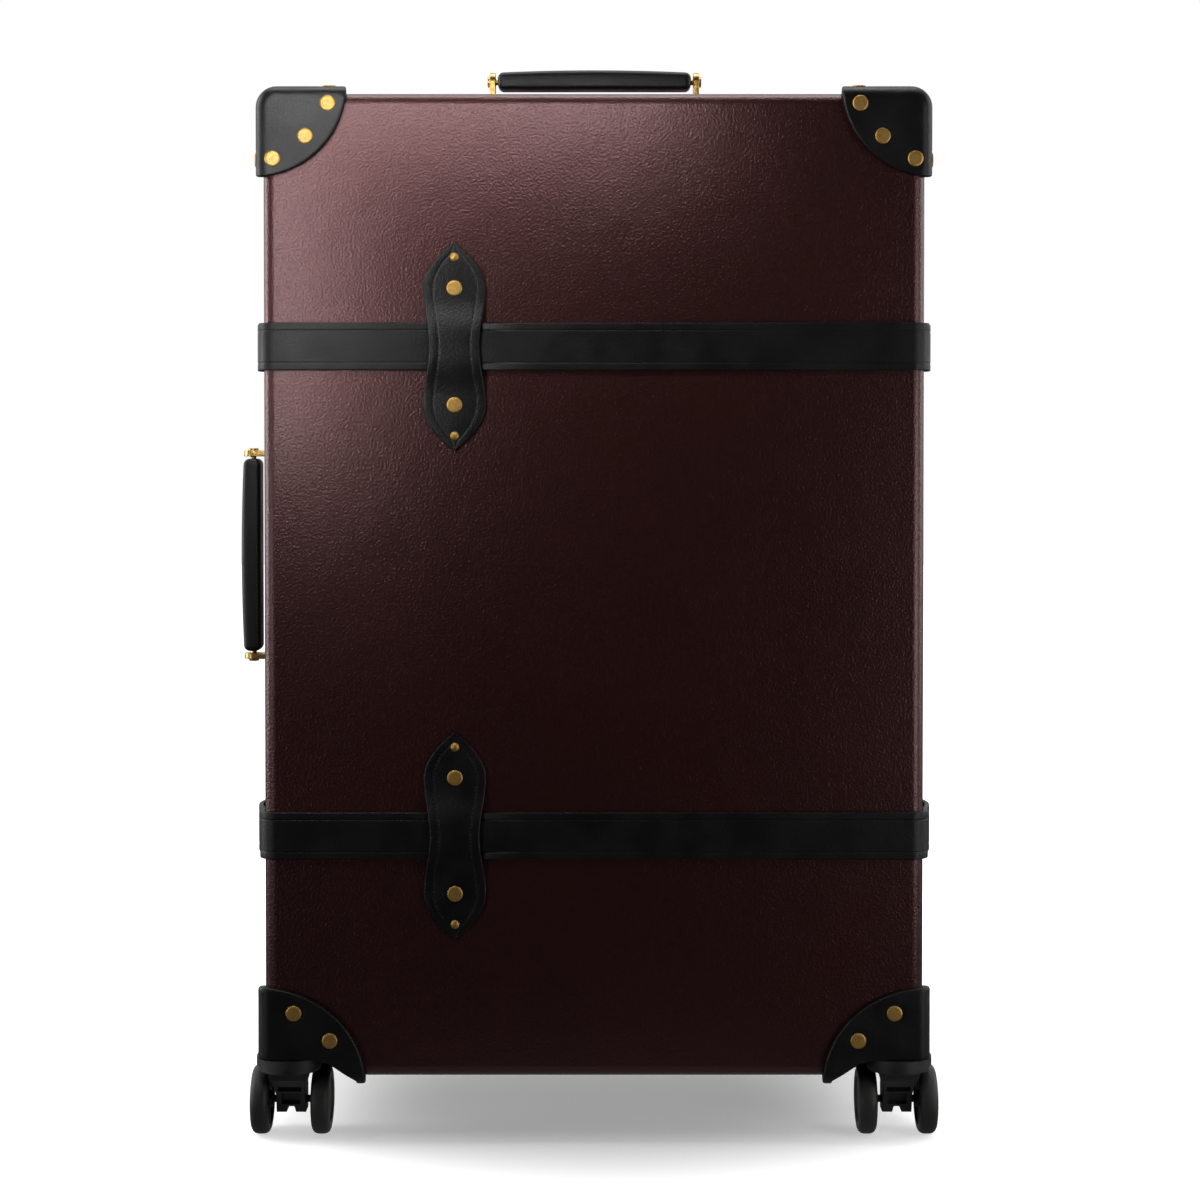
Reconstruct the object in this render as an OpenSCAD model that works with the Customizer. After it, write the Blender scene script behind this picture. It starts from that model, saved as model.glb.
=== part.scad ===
/* [Case] */
// Outside width of the case
case_w = 530; // [480:1:600]
// Outside height of the case
case_h = 790; // [700:1:860]
// Depth of the front half, which opens as the lid
lid_depth = 112; // [105:1:150]
// Depth of the rear half, which carries the handles
base_depth = 173; // [165:1:220]
// Radius of every outer edge of the board case
edge_r = 10; // [8:1:12]
// Thickness of the fibre board
board_t = 3; // [2.5:0.1:4]
// Height of the case's underside above the floor
ground_gap = 53.5; // [52:0.5:60]

/* [Rim frames] */
// Thickness of the rim frame of the rear half
frame_t = 5; // [4.5:0.1:7]
// Depth of both rim frames behind the parting line
frame_depth = 18; // [14:1:24]
// Reach of the rear frame's lip into the lid
lip_reach = 7; // [4:0.5:9]
// Thickness of that lip
lip_t = 1.5; // [1:0.1:2.5]
// Clearance between the lip and the lid's frame
lip_clear = 0.5; // [0.4:0.1:1]
// Gap between the two halves at the parting line
parting_gap = 0.3; // [0.2:0.1:0.6]

/* [Lining] */
// Thickness of the cloth-covered lining board
lining_t = 1.5; // [1:0.1:2.5]
// Air between the pull handle's cup and the lining in front of it
cup_air = 0.6; // [0.4:0.1:8]
// Corner radius of both linings
lining_r = 12; // [11:1:20]
// Width of each packing strap
packing_strap_w = 25; // [20:1:40]
// Thickness of each packing strap
packing_strap_t = 1.6; // [1:0.1:2.5]
// Height of the lid's pocket
pocket_h = 430; // [250:5:480]
// Thickness of the lid's pocket when it is empty
pocket_t = 4; // [3:0.5:8]

/* [Leather corners] */
// Thickness of the moulded leather corners
leather_t = 5.5; // [4:0.1:7]
// Radius of the leather's outer edges
leather_edge_r = 10; // [9:0.5:12]
// Radius of the upper corners' curved outline about the leather's tip
top_corner_r = 73; // [71:1:78]
// Radius of the lower corners' curved outline about the leather's tip
bottom_corner_r = 83; // [80:1:90]
// Radius of the large rivet heads
rivet_r = 6.3; // [5:0.1:7]
// Height of the large rivet heads
rivet_h = 1.6; // [1:0.1:2.5]
// Radius of the rivet shanks
shank_r = 2; // [1.5:0.1:2.5]

/* [Straps] */
// Width of the leather straps
strap_w = 38; // [30:1:44]
// Thickness of the leather straps
strap_t = 4; // [3:0.1:4.5]
// Distance of the upper strap's middle below the case's top
upper_strap_drop = 202.5; // [170:0.5:230]
// Height of the lower strap's middle above the case's underside
lower_strap_h = 195.5; // [170:0.5:230]
// How far a strap stands off the side walls between its fixings
strap_bow = 6; // [0:0.5:9]
// Distance of the pointed tip of a strap's tongue from the rear face
tongue_stop = 21; // [14:1:40]

/* [Strap keepers] */
// Length of the leather keepers
keeper_len = 167; // [150:1:190]
// Width of a keeper at its lobes
keeper_lobe_w = 50; // [44:1:60]
// Width of a keeper at its waist, over the strap
keeper_waist_w = 40; // [34:1:44]
// Thickness of the keeper leather
keeper_t = 2.6; // [2:0.1:3.5]
// Distance of the keepers from the middle of the case
keeper_x = 111.5; // [60:1:150]
// Distance of the keepers' large rivets from the strap's middle
keeper_rivet_z = 46.6; // [42:0.1:52]
// Distance of the keepers' small studs from the strap's middle
keeper_stud_z = 71.3; // [64:0.1:74]
// Radius of the small domed studs
stud_r = 3.6; // [2.5:0.1:4.5]

/* [Strap buckles] */
// Distance of the buckle's heel bar behind the parting line
buckle_y = 76; // [70:1:84]
// Length of the buckle frame, from heel bar to front bar
buckle_len = 30; // [26:1:34]
// Radius of the buckle's front bar
buckle_bar_r = 2.2; // [1.8:0.1:2.6]
// Radius of the buckle's heel bar
heel_bar_r = 1.8; // [1.4:0.1:2]
// Radius of the buckle's prong
prong_r = 1.6; // [1.2:0.1:1.8]
// Width of the leather loop behind the buckle
loop_w = 12; // [8:1:16]
// Distance of that loop behind the buckle's hinge line
loop_behind = 24; // [20:1:28]
// Thickness of that loop
loop_t = 2; // [1.5:0.1:3]

/* [Lid hinges] */
// Distance of the hinge line from the side wall
hinge_out = 5; // [4.9:0.1:6]
// Height of each hinge
hinge_h = 44; // [36:1:60]
// Reach of each hinge leaf from the hinge line
hinge_leaf = 28; // [22:1:40]
// Thickness of the hinge leaves
hinge_leaf_t = 1.8; // [1.4:0.1:2.2]
// Radius of the hinge knuckles
knuckle_r = 4; // [3.7:0.1:4.2]
// Radius of the hinge pins
hinge_pin_r = 1.5; // [1:0.1:2]

/* [Locks] */
// Width of a lock along the rim
lock_w = 34; // [30:1:38]
// Length of a lock's body across the rim
lock_len = 38; // [34:1:44]
// Height of a lock's housing off the wall
lock_h = 8; // [7:0.5:10]
// Travel of the release button
lock_travel = 6; // [4:0.5:7]

/* [Carrying handles] */
// Length of the leather grips
grip_len = 166; // [140:1:190]
// Width of the leather grips
grip_w = 28; // [22:1:32]
// Thickness of the leather grips at their ends
grip_t = 15; // [13:0.5:17]
// Rise of the grips towards their middle
grip_crown = 2; // [0:0.5:4]
// Height of a grip's pins above the wall
grip_pin_h = 30; // [24:0.5:32]
// Thickness of the brass lugs
lug_t = 5; // [3:0.5:7]
// Width of the brass lugs
lug_w = 16; // [12:1:20]
// Radius of the grip pins
grip_pin_r = 2.5; // [2:0.1:3]
// Distance of both handles behind the parting line
handle_y = 50.5; // [40:0.5:58]
// Height of the side handle's middle above the middle between the straps
side_handle_rise = 21; // [0:1:30]

/* [Pull handle] */
// Distance between the middles of the pull handle's tubes
tube_pitch = 160; // [130:1:180]
// Outside radius of the fixed outer tubes
tube_r = 10; // [9:0.1:10.5]
// Wall of every tube
tube_wall = 1.4; // [1.2:0.1:1.6]
// Length of the fixed outer tubes
tube_len = 300; // [260:5:400]
// Travel of each of the two sliding stages
stage_travel = 140; // [100:5:150]
// Depth of the cup that the pull handle sinks into
cup_depth = 24; // [22:1:30]
// Clear width of that cup, front to back
cup_w = 26; // [25:1:27]
// Thickness of the pull grip, front to back
pull_grip_w = 20; // [18:1:22]
// Height of the pull grip
pull_grip_h = 17; // [15:1:19]
// Length of the release button on the pull grip
pull_button_len = 30; // [20:1:40]
// Travel of the release button on the pull grip
pull_button_travel = 3; // [2:0.5:4]

/* [Casters] */
// Radius of the wheels
wheel_r = 28; // [25:0.5:29]
// Width of each wheel
wheel_w = 15; // [12:0.5:16]
// Distance between the middles of a caster's two wheels
wheel_pitch = 49; // [46:1:54]
// Distance of the axle from the swivel's centre line
trail = 14; // [8:1:16]
// Distance of a swivel's centre line from the case's outer faces
swivel_inset = 18.5; // [16:0.5:20]
// Depth of the recess in the case's underside above each caster
recess_h = 14.5; // [13:0.5:18]
// Radius of the recess at its mouth
recess_mouth_r = 56; // [54:1:58]
// Radius of the recess at its top
recess_top_r = 38; // [36:1:40]
// Radius of the axles
axle_r = 3; // [2.5:0.1:3.5]
// Radius of the swivel pins
swivel_pin_r = 5; // [4:0.1:6]
// Width of the fork between the wheels
fork_w = 24; // [20:1:26]

/* [Hidden] */
case_depth = lid_depth + base_depth;
front_y = -case_depth / 2;
rear_y = case_depth / 2;
split_y = front_y + lid_depth;
side_x = case_w / 2;
case_z = ground_gap;
top_z = case_z + case_h;
inner_r = edge_r - board_t;         // radius of the board's inner edges
lay = 0.3;                          // air between a strap and the wall that it lies on
run_fit = 0.05;                     // radial clearance of every turning or sliding fit
touch_gap = 0.3;                    // air between pieces that move past each other
rest_gap = 0.1;                     // air under a fixed piece that lies on a lining
body_fn = 24;                       // facets round the edges of the case
far = 2000;                         // larger than the whole object

upper_strap_z = top_z - upper_strap_drop;
lower_strap_z = case_z + lower_strap_h;
strap_zs = [lower_strap_z, upper_strap_z];
hinge_x = side_x + hinge_out;
hinge_mid_z = case_z + case_h / 2;
// Heights of the locks and the outer hinges, each midway between a strap and the case's rounded edge
upper_fitting_z = (upper_strap_z + strap_w / 2 + top_z - edge_r) / 2;
lower_fitting_z = (lower_strap_z - strap_w / 2 + case_z + edge_r) / 2;
side_handle_z = (upper_strap_z + lower_strap_z) / 2 + side_handle_rise;
handles_y = split_y + handle_y;
cup_rim = 1.5;                      // reach and thickness of the cup's rim on the case's top
cup_wall = 1.8;                     // wall of the cup
tubes_y = rear_y - edge_r - cup_w / 2 - cup_wall - cup_rim;
cup_end_room = 8;                   // length of the cup beyond each tube
cup_floor_z = top_z - cup_depth;
false_back_y = tubes_y - cup_w / 2 - cup_wall - cup_air;
recess_z = case_z + recess_h;
swivel_x = side_x - swivel_inset;
swivel_front_y = front_y + swivel_inset;
swivel_rear_y = rear_y - swivel_inset;

// Colours
oxblood = "#3a1a1c";
black_leather = "#1a1919";
brass = "#c39a45";
black_plastic = "#1e1d1c";
tyre_black = "#2b2a28";
steel = "#b9bbbd";
lining_cloth = "#8c7a5f";

// ---- Shared shapes ----

// Points of an arc about [x, y], from angle a to angle b
function arc(x, y, r, a, b, steps) = [for (i = [0:steps]) let (t = a + (b - a) * i / steps)
    [x + r * cos(t), y + r * sin(t)]];
function reversed(list) = [for (i = [len(list) - 1:-1:0]) list[i]];
// A rectangle with rounded corners, centred on the origin
function rounded(w, h, r, steps = 6) = concat(
    arc(w / 2 - r, h / 2 - r, r, 0, 90, steps), arc(r - w / 2, h / 2 - r, r, 90, 180, steps),
    arc(r - w / 2, r - h / 2, r, 180, 270, steps), arc(w / 2 - r, r - h / 2, r, 270, 360, steps));

// A box from one corner to the other
module box(low, high) translate(low) cube(high - low);

// The case's solid form with its faces moved inwards by inset, and its edges rounded to r
module case_form(inset, r) {
    true_r = r / cos(180 / body_fn);
    hull() for (x = [-1, 1], y = [front_y + inset + r, rear_y - inset - r],
        z = [case_z + inset + r, top_z - inset - r])
        translate([x * (side_x - inset - r), y, z]) sphere(true_r, $fn = body_fn);
}
module lid_side() box([-far, -far, -far], [far, split_y - parting_gap / 2, far]);
module base_side() box([-far, split_y + parting_gap / 2, -far], [far, far, far]);

// The space that a caster turns in, grown by the given amount
module recess(x, y, grow) {
    slope = (recess_mouth_r - recess_top_r) / recess_h;
    below = leather_t + 1;
    translate([x, y, case_z - below]) cylinder(h = recess_h + below + grow,
        r1 = recess_mouth_r + slope * below + grow, r2 = recess_top_r + grow * (1 - slope));
}
module recesses(y, grow = 0) for (side = [-1, 1]) recess(side * swivel_x, y, grow);

// ---- Board shells, rim frames and linings ----

module shell_form() difference() {
    case_form(0, edge_r);
    case_form(board_t, inner_r);
}
module base_shell() color(oxblood) difference() {
    intersection() {
        shell_form();
        base_side();
    }
    recesses(swivel_rear_y);
    cup_opening(0);
}
module lid_shell() color(oxblood) difference() {
    intersection() {
        shell_form();
        lid_side();
    }
    recesses(swivel_front_y);
}

// A ring that follows the inside of the rim, between two insets from the case's faces and two depths
module rim_ring(inset, thick, y0, y1) translate([0, y1, hinge_mid_z]) rotate([90, 0, 0])
    linear_extrude(y1 - y0) difference() {
        polygon(rounded(case_w - 2 * inset, case_h - 2 * inset, edge_r));
        polygon(rounded(case_w - 2 * (inset + thick), case_h - 2 * (inset + thick), edge_r));
    }
module base_frame() color(steel) {
    lip_inset = board_t + frame_t - lip_t;
    rim_ring(board_t, frame_t, split_y + parting_gap / 2, split_y + frame_depth);
    rim_ring(lip_inset, lip_t, split_y - lip_reach, split_y + parting_gap);
}
module lid_frame() color(steel)
    rim_ring(board_t, frame_t - lip_t - lip_clear, split_y - frame_depth, split_y - parting_gap / 2);

// A lining tray, open towards the parting line
module tray(y0, y1) {
    inset = board_t;
    module block(more) hull() for (x = [-1, 1], y = [y0 + more + lining_r, y1 - more - lining_r],
        z = [case_z + inset + more + lining_r, top_z - inset - more - lining_r])
        translate([x * (side_x - inset - more - lining_r), y, z])
            sphere(lining_r / cos(180 / body_fn), $fn = body_fn);
    difference() {
        block(0);
        block(lining_t);
    }
}
module base_lining() color(lining_cloth) difference() {
    start = split_y + frame_depth;
    intersection() {
        tray(start - 2 * lining_r, false_back_y);
        box([-far, start, -far], [far, far, far]);
    }
    recesses(swivel_rear_y, cup_t + touch_gap);
}
module lid_lining() color(lining_cloth) difference() {
    start = split_y - frame_depth;
    intersection() {
        tray(front_y + board_t, start + 2 * lining_r);
        box([-far, -far, -far], [far, start, far]);
    }
    recesses(swivel_front_y, cup_t + touch_gap);
}
module lid_pocket() color(lining_cloth) {
    y0 = front_y + board_t + lining_t + rest_gap;
    margin = board_t + lining_t + lining_r;
    low = case_z + recess_h + margin;
    box([margin - side_x, y0, low], [side_x - margin, y0 + pocket_t, low + pocket_h]);
}
// Two webbing straps that lie flat on the lining, each with its clip
module packing_straps() color(black_plastic) for (z = strap_zs) {
    y1 = false_back_y - lining_t - rest_gap;
    reach = side_x - board_t - lining_t - lining_r;
    clip_w = 2 * packing_strap_w;
    box([-reach, y1 - packing_strap_t, z - packing_strap_w / 2], [reach, y1, z + packing_strap_w / 2]);
    box([-clip_w / 2, y1 - 3 * packing_strap_t, z - 0.7 * packing_strap_w],
        [clip_w / 2, y1 - packing_strap_t, z + 0.7 * packing_strap_w]);
}

// ---- Leather corners and their rivets ----

// Rivet places on the faces of an upper and of a lower corner, as distances from the corner's two edges
top_spots = [[53, 9], [35, 35], [9, 53]];
bottom_spots = [[24, 53], [53, 31]];

// Places a rivet shape at every rivet of the right rear corner at the top (sz = 1) or the bottom (sz = -1)
module at_corner_rivets(sz) {
    out = leather_t;
    corner_z = sz > 0 ? top_z : case_z;
    for (s = sz > 0 ? top_spots : bottom_spots) {
        translate([side_x - s.x, rear_y + out, corner_z - sz * s.y]) rotate([-90, 0, 0]) children();
        translate([side_x + out, rear_y - s.x, corner_z - sz * s.y]) rotate([0, 90, 0]) children();
    }
    if (sz > 0) for (s = top_spots) translate([side_x - s.x, rear_y - s.y, top_z + out]) children();
}
module shank(length, extra = 0) translate([0, 0, -length])
    cylinder(h = length + extra, r = shank_r, $fn = 24);
// A flat rivet with a bevelled rim, whose head sits at z = 0
module rivet(length) {
    bevel = rivet_h / 2;
    rotate_extrude($fn = 48) polygon([[0, 0], [rivet_r, 0], [rivet_r, rivet_h - bevel],
        [rivet_r - bevel, rivet_h], [0, rivet_h]]);
    shank(length);
}
// The outline of a corner's leather, which is a circle of radius r about the tip on each of the three faces
module leather_outline(r) intersection() {
    cylinder(h = 2 * r, r = r, center = true, $fn = 64);
    rotate([90, 0, 0]) cylinder(h = 2 * r, r = r, center = true, $fn = 64);
    rotate([0, 90, 0]) cylinder(h = 2 * r, r = r, center = true, $fn = 64);
}
// The right rear corner is made, and mirrored to the side (sx) and the half (sy) that it is for
module leather_corner(sx, sy, sz) color(black_leather) scale([sx, sy, 1]) difference() {
    intersection() {
        case_form(-leather_t, leather_edge_r);
        translate([side_x + leather_t, rear_y + leather_t, sz > 0 ? top_z + leather_t : case_z - leather_t])
            leather_outline(sz > 0 ? top_corner_r : bottom_corner_r);
    }
    case_form(0, edge_r);
    if (sz < 0) recess(swivel_x, swivel_rear_y, 0);
    at_corner_rivets(sz) shank(leather_t + 1, 1);
}
module rivets_of_half(sy) color(brass) {
    for (sx = [-1, 1], sz = [-1, 1]) scale([sx, sy, 1]) at_corner_rivets(sz) rivet(leather_t);
    for (z = strap_zs) at_keeper(sy, z) {
        for (s = [-1, 1]) {
            translate([0, s * keeper_rivet_z, keeper_t]) rivet(keeper_t);
            translate([0, s * keeper_stud_z, keeper_t]) stud(keeper_t);
        }
    }
}
// A small domed stud
module stud(length) {
    dome_h = stud_r * 0.45;
    cap_r = (stud_r * stud_r + dome_h * dome_h) / (2 * dome_h);
    dome_a = asin(stud_r / cap_r);
    rotate_extrude($fn = 48) polygon(concat([[0, 0]], [for (i = [6:-1:0]) let (a = dome_a * i / 6)
        [cap_r * sin(a), cap_r * cos(a) - cap_r + dome_h]]));
    shank(length);
}
module base_rivets() rivets_of_half(1);
module lid_rivets() rivets_of_half(-1);

// ---- Straps ----

// How far a strap's inner face stands off a side wall, at a distance into a run of the given length
function bow(d, run) = d < 0 || d > run ? 0 : strap_bow * (1 - cos(360 * d / run)) / 2;
side_steps = 12;
flat_run = 20;                             // stretch beside the parting line that lies flat
lid_run = lid_depth - edge_r - flat_run;   // bowed stretch of the lid's side
base_run = base_depth - edge_r - flat_run; // bowed stretch of the rear half's side
eye_r = strap_t;                     // radius of the leather eye round the heel bar
eye_x = side_x + lay + eye_r;        // distance of the heel bar from the case's middle
heel_y = split_y + buckle_y;
tongue_off = 2 * eye_r + touch_gap;  // height of the tongue's inner face above the strap's usual place
tongue_x = side_x + lay + tongue_off;
front_bar_x = tongue_x + strap_t + touch_gap + buckle_bar_r;
front_bar_y = heel_y - buckle_len;
tilt = atan2(front_bar_x - eye_x, buckle_len);
arm_len = buckle_len / cos(tilt);
tongue_tip_y = rear_y - tongue_stop;
ramp_start = 2;                       // start of the tongue's rise behind the parting line
ramp_end = buckle_y - buckle_len - 6; // end of that rise, in front of the buckle
tongue_side = 0.7;                    // how much narrower the tongue is than the strap on each side

// Outline of the lid's strap at a height o above its inner face, from the hinge side round the front
// to the tip of the tongue
function lid_strap_line(o) = concat(
    [for (i = [0:side_steps]) let (d = (lid_depth - edge_r - touch_gap) * (1 - i / side_steps))
        [side_x + lay + o + bow(d, lid_run), front_y + edge_r + d]],
    arc(side_x - edge_r, front_y + edge_r, edge_r + lay + o, 0, -90, 8),
    arc(edge_r - side_x, front_y + edge_r, edge_r + lay + o, -90, -180, 8),
    [for (i = [0:side_steps]) let (d = (lid_run + flat_run / 2) * i / side_steps)
        [-(side_x + lay + o + bow(d, lid_run)), front_y + edge_r + d]],
    [for (i = [0:8]) let (d = ramp_start + (ramp_end - ramp_start) * i / 8)
        [-(side_x + lay + o + tongue_off * (1 - cos(180 * i / 8)) / 2), split_y + d]],
    [[-(tongue_x + o), tongue_tip_y]]);
// Outline of the rear half's strap, from the buckle's heel bar round the rear to the hinge side
function base_strap_line(o) = concat(
    [[-(side_x + lay + o), heel_y + heel_bar_r]],
    arc(edge_r - side_x, rear_y - edge_r, edge_r + lay + o, 180, 90, 8),
    arc(side_x - edge_r, rear_y - edge_r, edge_r + lay + o, 90, 0, 8),
    [for (i = [0:side_steps]) let (d = (base_depth - edge_r - touch_gap) * i / side_steps)
        [side_x + lay + o + bow(d, base_run), rear_y - edge_r - d]]);

module strap_band(w, line_in, line_out) linear_extrude(w, center = true)
    polygon(concat(line_in, reversed(line_out)));
// The slot in a tongue that lets the prong through and swing
prong_slot = [heel_y - buckle_len * 0.68, heel_y + 4];
prong_room = 0.7;      // room round the prong in its slot and in the spare holes
spare_holes = [16, 48]; // distances of the spare holes behind the heel bar
module tongue_cuts() {
    slot_w = 2 * (prong_r + prong_room);
    box([-tongue_x - strap_t - 1, prong_slot[0], -slot_w / 2], [-tongue_x + 1, prong_slot[1], slot_w / 2]);
    for (d = spare_holes) translate([-tongue_x - strap_t - 1, heel_y + d, 0]) rotate([0, 90, 0])
        cylinder(h = strap_t + 2, r = prong_r + prong_room, $fn = 24);
    tip = tongue_tip_y;
    for (s = [-1, 1]) translate([-tongue_x - strap_t - 1, 0, 0]) rotate([0, 90, 0])
        linear_extrude(strap_t + 2) polygon(concat(
            [[s * strap_w, tip - strap_w], [s * strap_w, tip + 1], [0, tip + 1]],
            [for (i = [0:8]) let (a = 90 * i / 8)
                [s * (strap_w / 2 + 0.01) * sin(a), tip - strap_w * (1 - cos(a))]]));
    // The tongue is a little narrower than the strap, so that it slips through the buckle
    side_z = strap_w / 2 - tongue_side;
    for (s = [-1, 1]) scale([1, 1, s])
        box([-far, split_y + ramp_start, side_z], [0, far, strap_w]);
}
module lid_straps() color(black_leather) for (z = strap_zs) translate([0, 0, z]) difference() {
    strap_band(strap_w, lid_strap_line(0), lid_strap_line(strap_t));
    tongue_cuts();
}
module base_straps() color(black_leather) for (z = strap_zs) translate([0, 0, z]) difference() {
    loop_y = heel_y + loop_behind;
    loop_x = tongue_x + strap_t + touch_gap;
    union() {
        strap_band(strap_w, base_strap_line(0), base_strap_line(strap_t));
        translate([-eye_x, heel_y, 0]) cylinder(h = strap_w, r = eye_r, center = true, $fn = 48);
        for (s = [-1, 1]) translate([0, 0, s * (strap_w / 2 + loop_t / 2 - 0.2)])
            box([-loop_x - loop_t, loop_y, -loop_t / 2], [-side_x - lay, loop_y + loop_w, loop_t / 2]);
        box([-loop_x - loop_t, loop_y, 0.2 - strap_w / 2 - loop_t],
            [-loop_x, loop_y + loop_w, strap_w / 2 + loop_t - 0.2]);
    }
    // Bore for the heel bar, and the gap that the prong swings in
    translate([-eye_x, heel_y, 0])
        cylinder(h = strap_w + 2, r = heel_bar_r + run_fit, center = true, $fn = 48);
    prong_gap = 2 * prong_eye_r + 2;
    box([-far, heel_y - eye_r - 1, -prong_gap / 2], [-side_x, heel_y + eye_r + 2, prong_gap / 2]);
}
prong_eye_r = heel_bar_r + 1.6;

// A buckle frame in its own place on the upper or lower strap
module buckle_frame(z) color(brass) translate([-eye_x, heel_y, z]) {
    arm_z = strap_w / 2 + touch_gap;
    arm_w = 3.4;
    cylinder(h = 2 * (arm_z + arm_w / 2), r = heel_bar_r, center = true, $fn = 48);
    rotate([0, 0, -tilt]) {
        for (s = [-1, 1]) translate([-buckle_bar_r, -arm_len - buckle_bar_r, s > 0 ? arm_z : -arm_z - arm_w])
            cube([2 * buckle_bar_r, arm_len + 2 * buckle_bar_r, arm_w]);
        translate([0, -arm_len, 0])
            cylinder(h = 2 * arm_z + arm_w, r = buckle_bar_r, center = true, $fn = 48);
    }
}
module buckle_prong(z) color(brass) translate([-eye_x, heel_y, z]) {
    lift = tilt + asin((buckle_bar_r + touch_gap + prong_r) / arm_len);
    reach = arm_len + buckle_bar_r;
    difference() {
        union() {
            cylinder(h = 2 * prong_eye_r, r = prong_eye_r, center = true, $fn = 48);
            rotate([90, 0, -lift]) cylinder(h = reach, r = prong_r, $fn = 32);
        }
        cylinder(h = 3 * prong_eye_r, r = heel_bar_r + run_fit, center = true, $fn = 48);
    }
}

// ---- Leather keepers that hold the straps to the front and rear faces ----

// Half the keeper's width at a distance t from its middle
function keeper_half(t) = let (s = (t - keeper_rivet_z) / (keeper_len / 2 - keeper_rivet_z))
    t < keeper_rivet_z
    ? keeper_waist_w / 2 + (keeper_lobe_w - keeper_waist_w) / 2 * (1 - cos(180 * t / keeper_rivet_z)) / 2
    : keeper_lobe_w / 2 * (1 - pow(s, 1.9));
// Puts local X across the face, local Y up and local Z out of the face
module at_keeper(sy, z) translate([-keeper_x, sy * rear_y, z]) rotate([90, 0, sy > 0 ? 180 : 0]) children();
module keeper(sy, z) color(black_leather) at_keeper(sy, z) difference() {
    steps = 40;
    over = strap_t + lay + touch_gap;
    flat = strap_w / 2 + touch_gap;
    foot = strap_w / 2 + over + 3;
    side = [for (i = [0:steps]) let (t = keeper_len * (i / steps - 0.5)) [keeper_half(abs(t)), t]];
    profile = [[-keeper_len, 0], [-foot, 0], [-flat, over], [flat, over], [foot, 0], [keeper_len, 0],
        [keeper_len, keeper_t], [foot, keeper_t], [flat, over + keeper_t], [-flat, over + keeper_t],
        [-foot, keeper_t], [-keeper_len, keeper_t]];
    intersection() {
        linear_extrude(far) polygon(concat(side, reversed([for (p = side) if (p.x > 0.001) [-p.x, p.y]])));
        rotate([90, 0, 90]) linear_extrude(2 * keeper_lobe_w, center = true) polygon(profile);
    }
    for (s = [-keeper_stud_z, -keeper_rivet_z, keeper_rivet_z, keeper_stud_z])
        translate([0, s, keeper_t]) shank(keeper_t + 1, 1);
}
module base_keepers() for (z = strap_zs) keeper(1, z);
module lid_keepers() for (z = strap_zs) keeper(-1, z);

// ---- Lid hinges on the right side ----

hinge_zs = [lower_fitting_z, hinge_mid_z, upper_fitting_z];
hinge_third = hinge_h / 3;
// One leaf: side is 1 for the rear half's two knuckles, -1 for the lid's single one
module hinge_leaf_form(side) {
    cut = (hinge_third + touch_gap) / 2;
    spans = side > 0 ? [[-hinge_h / 2, -cut], [cut, hinge_h / 2]] : [[touch_gap - cut, cut - touch_gap]];
    clear_y = knuckle_r + touch_gap;
    module plate(y0, y1, z0, z1) box([side_x - hinge_x, min(side * y0, side * y1), z0],
        [side_x - hinge_x + hinge_leaf_t, max(side * y0, side * y1), z1]);
    difference() {
        union() {
            plate(clear_y, hinge_leaf, -hinge_h / 2, hinge_h / 2);
            for (s = spans) {
                plate(parting_gap, clear_y + 1, s[0], s[1]);
                translate([0, 0, s[0]]) cylinder(h = s[1] - s[0], r = knuckle_r, $fn = 48);
            }
        }
        cylinder(h = 2 * hinge_h, r = hinge_pin_r + (side > 0 ? 0 : run_fit), center = true, $fn = 48);
    }
}
module at_hinges() for (z = hinge_zs) translate([hinge_x, split_y, z]) children();
module hinge_leaves_base() color(brass) at_hinges() hinge_leaf_form(1);
module hinge_leaves_lid() color(brass) at_hinges() hinge_leaf_form(-1);
module hinge_pins() color(brass) at_hinges() cylinder(h = hinge_h, r = hinge_pin_r, center = true, $fn = 48);

// ---- Locks on the left side ----

// Local X runs out of the wall, local Y backwards from the parting line, local Z along the rim
module at_lock(z) translate([-side_x, split_y, z]) mirror([1, 0, 0]) children();
lock_zs = [lower_fitting_z, upper_fitting_z];
lock_plate_t = 2;
hasp_r = 3.6;
hasp_x = lock_plate_t + hasp_r + touch_gap;
hasp_y = 9;
hasp_pin_r = 1.5;
lock_lug_w = 4;
hasp_w = lock_w - 2 * lock_lug_w - 2 * touch_gap;
hasp_reach = 14;
hasp_t = 2.4;
hasp_lip = 3;
housing_y = hasp_y + hasp_r + 1;
button_len = 8;
button_w = 12;
stem_w = 5;
button_slot_y = housing_y + 4;
module lock_bodies() color(brass) for (z = lock_zs) at_lock(z) difference() {
    union() {
        box([0, 2, -lock_w / 2], [lock_plate_t, lock_len, lock_w / 2]);
        box([0, housing_y, -lock_w / 2 + 2], [lock_h, lock_len - 2, lock_w / 2 - 2]);
        for (s = [-1, 1]) translate([0, 0, s * (lock_w - lock_lug_w) / 2])
            box([0, hasp_y - hasp_r, -lock_lug_w / 2], [hasp_x + hasp_r, housing_y + 1, lock_lug_w / 2]);
    }
    translate([hasp_x, hasp_y, 0])
        cylinder(h = 2 * lock_w, r = hasp_pin_r + run_fit, center = true, $fn = 48);
    box([lock_plate_t + 1, button_slot_y, -stem_w / 2 - touch_gap],
        [2 * lock_h, button_slot_y + stem_w + lock_travel + 2 * touch_gap, stem_w / 2 + touch_gap]);
}
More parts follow.
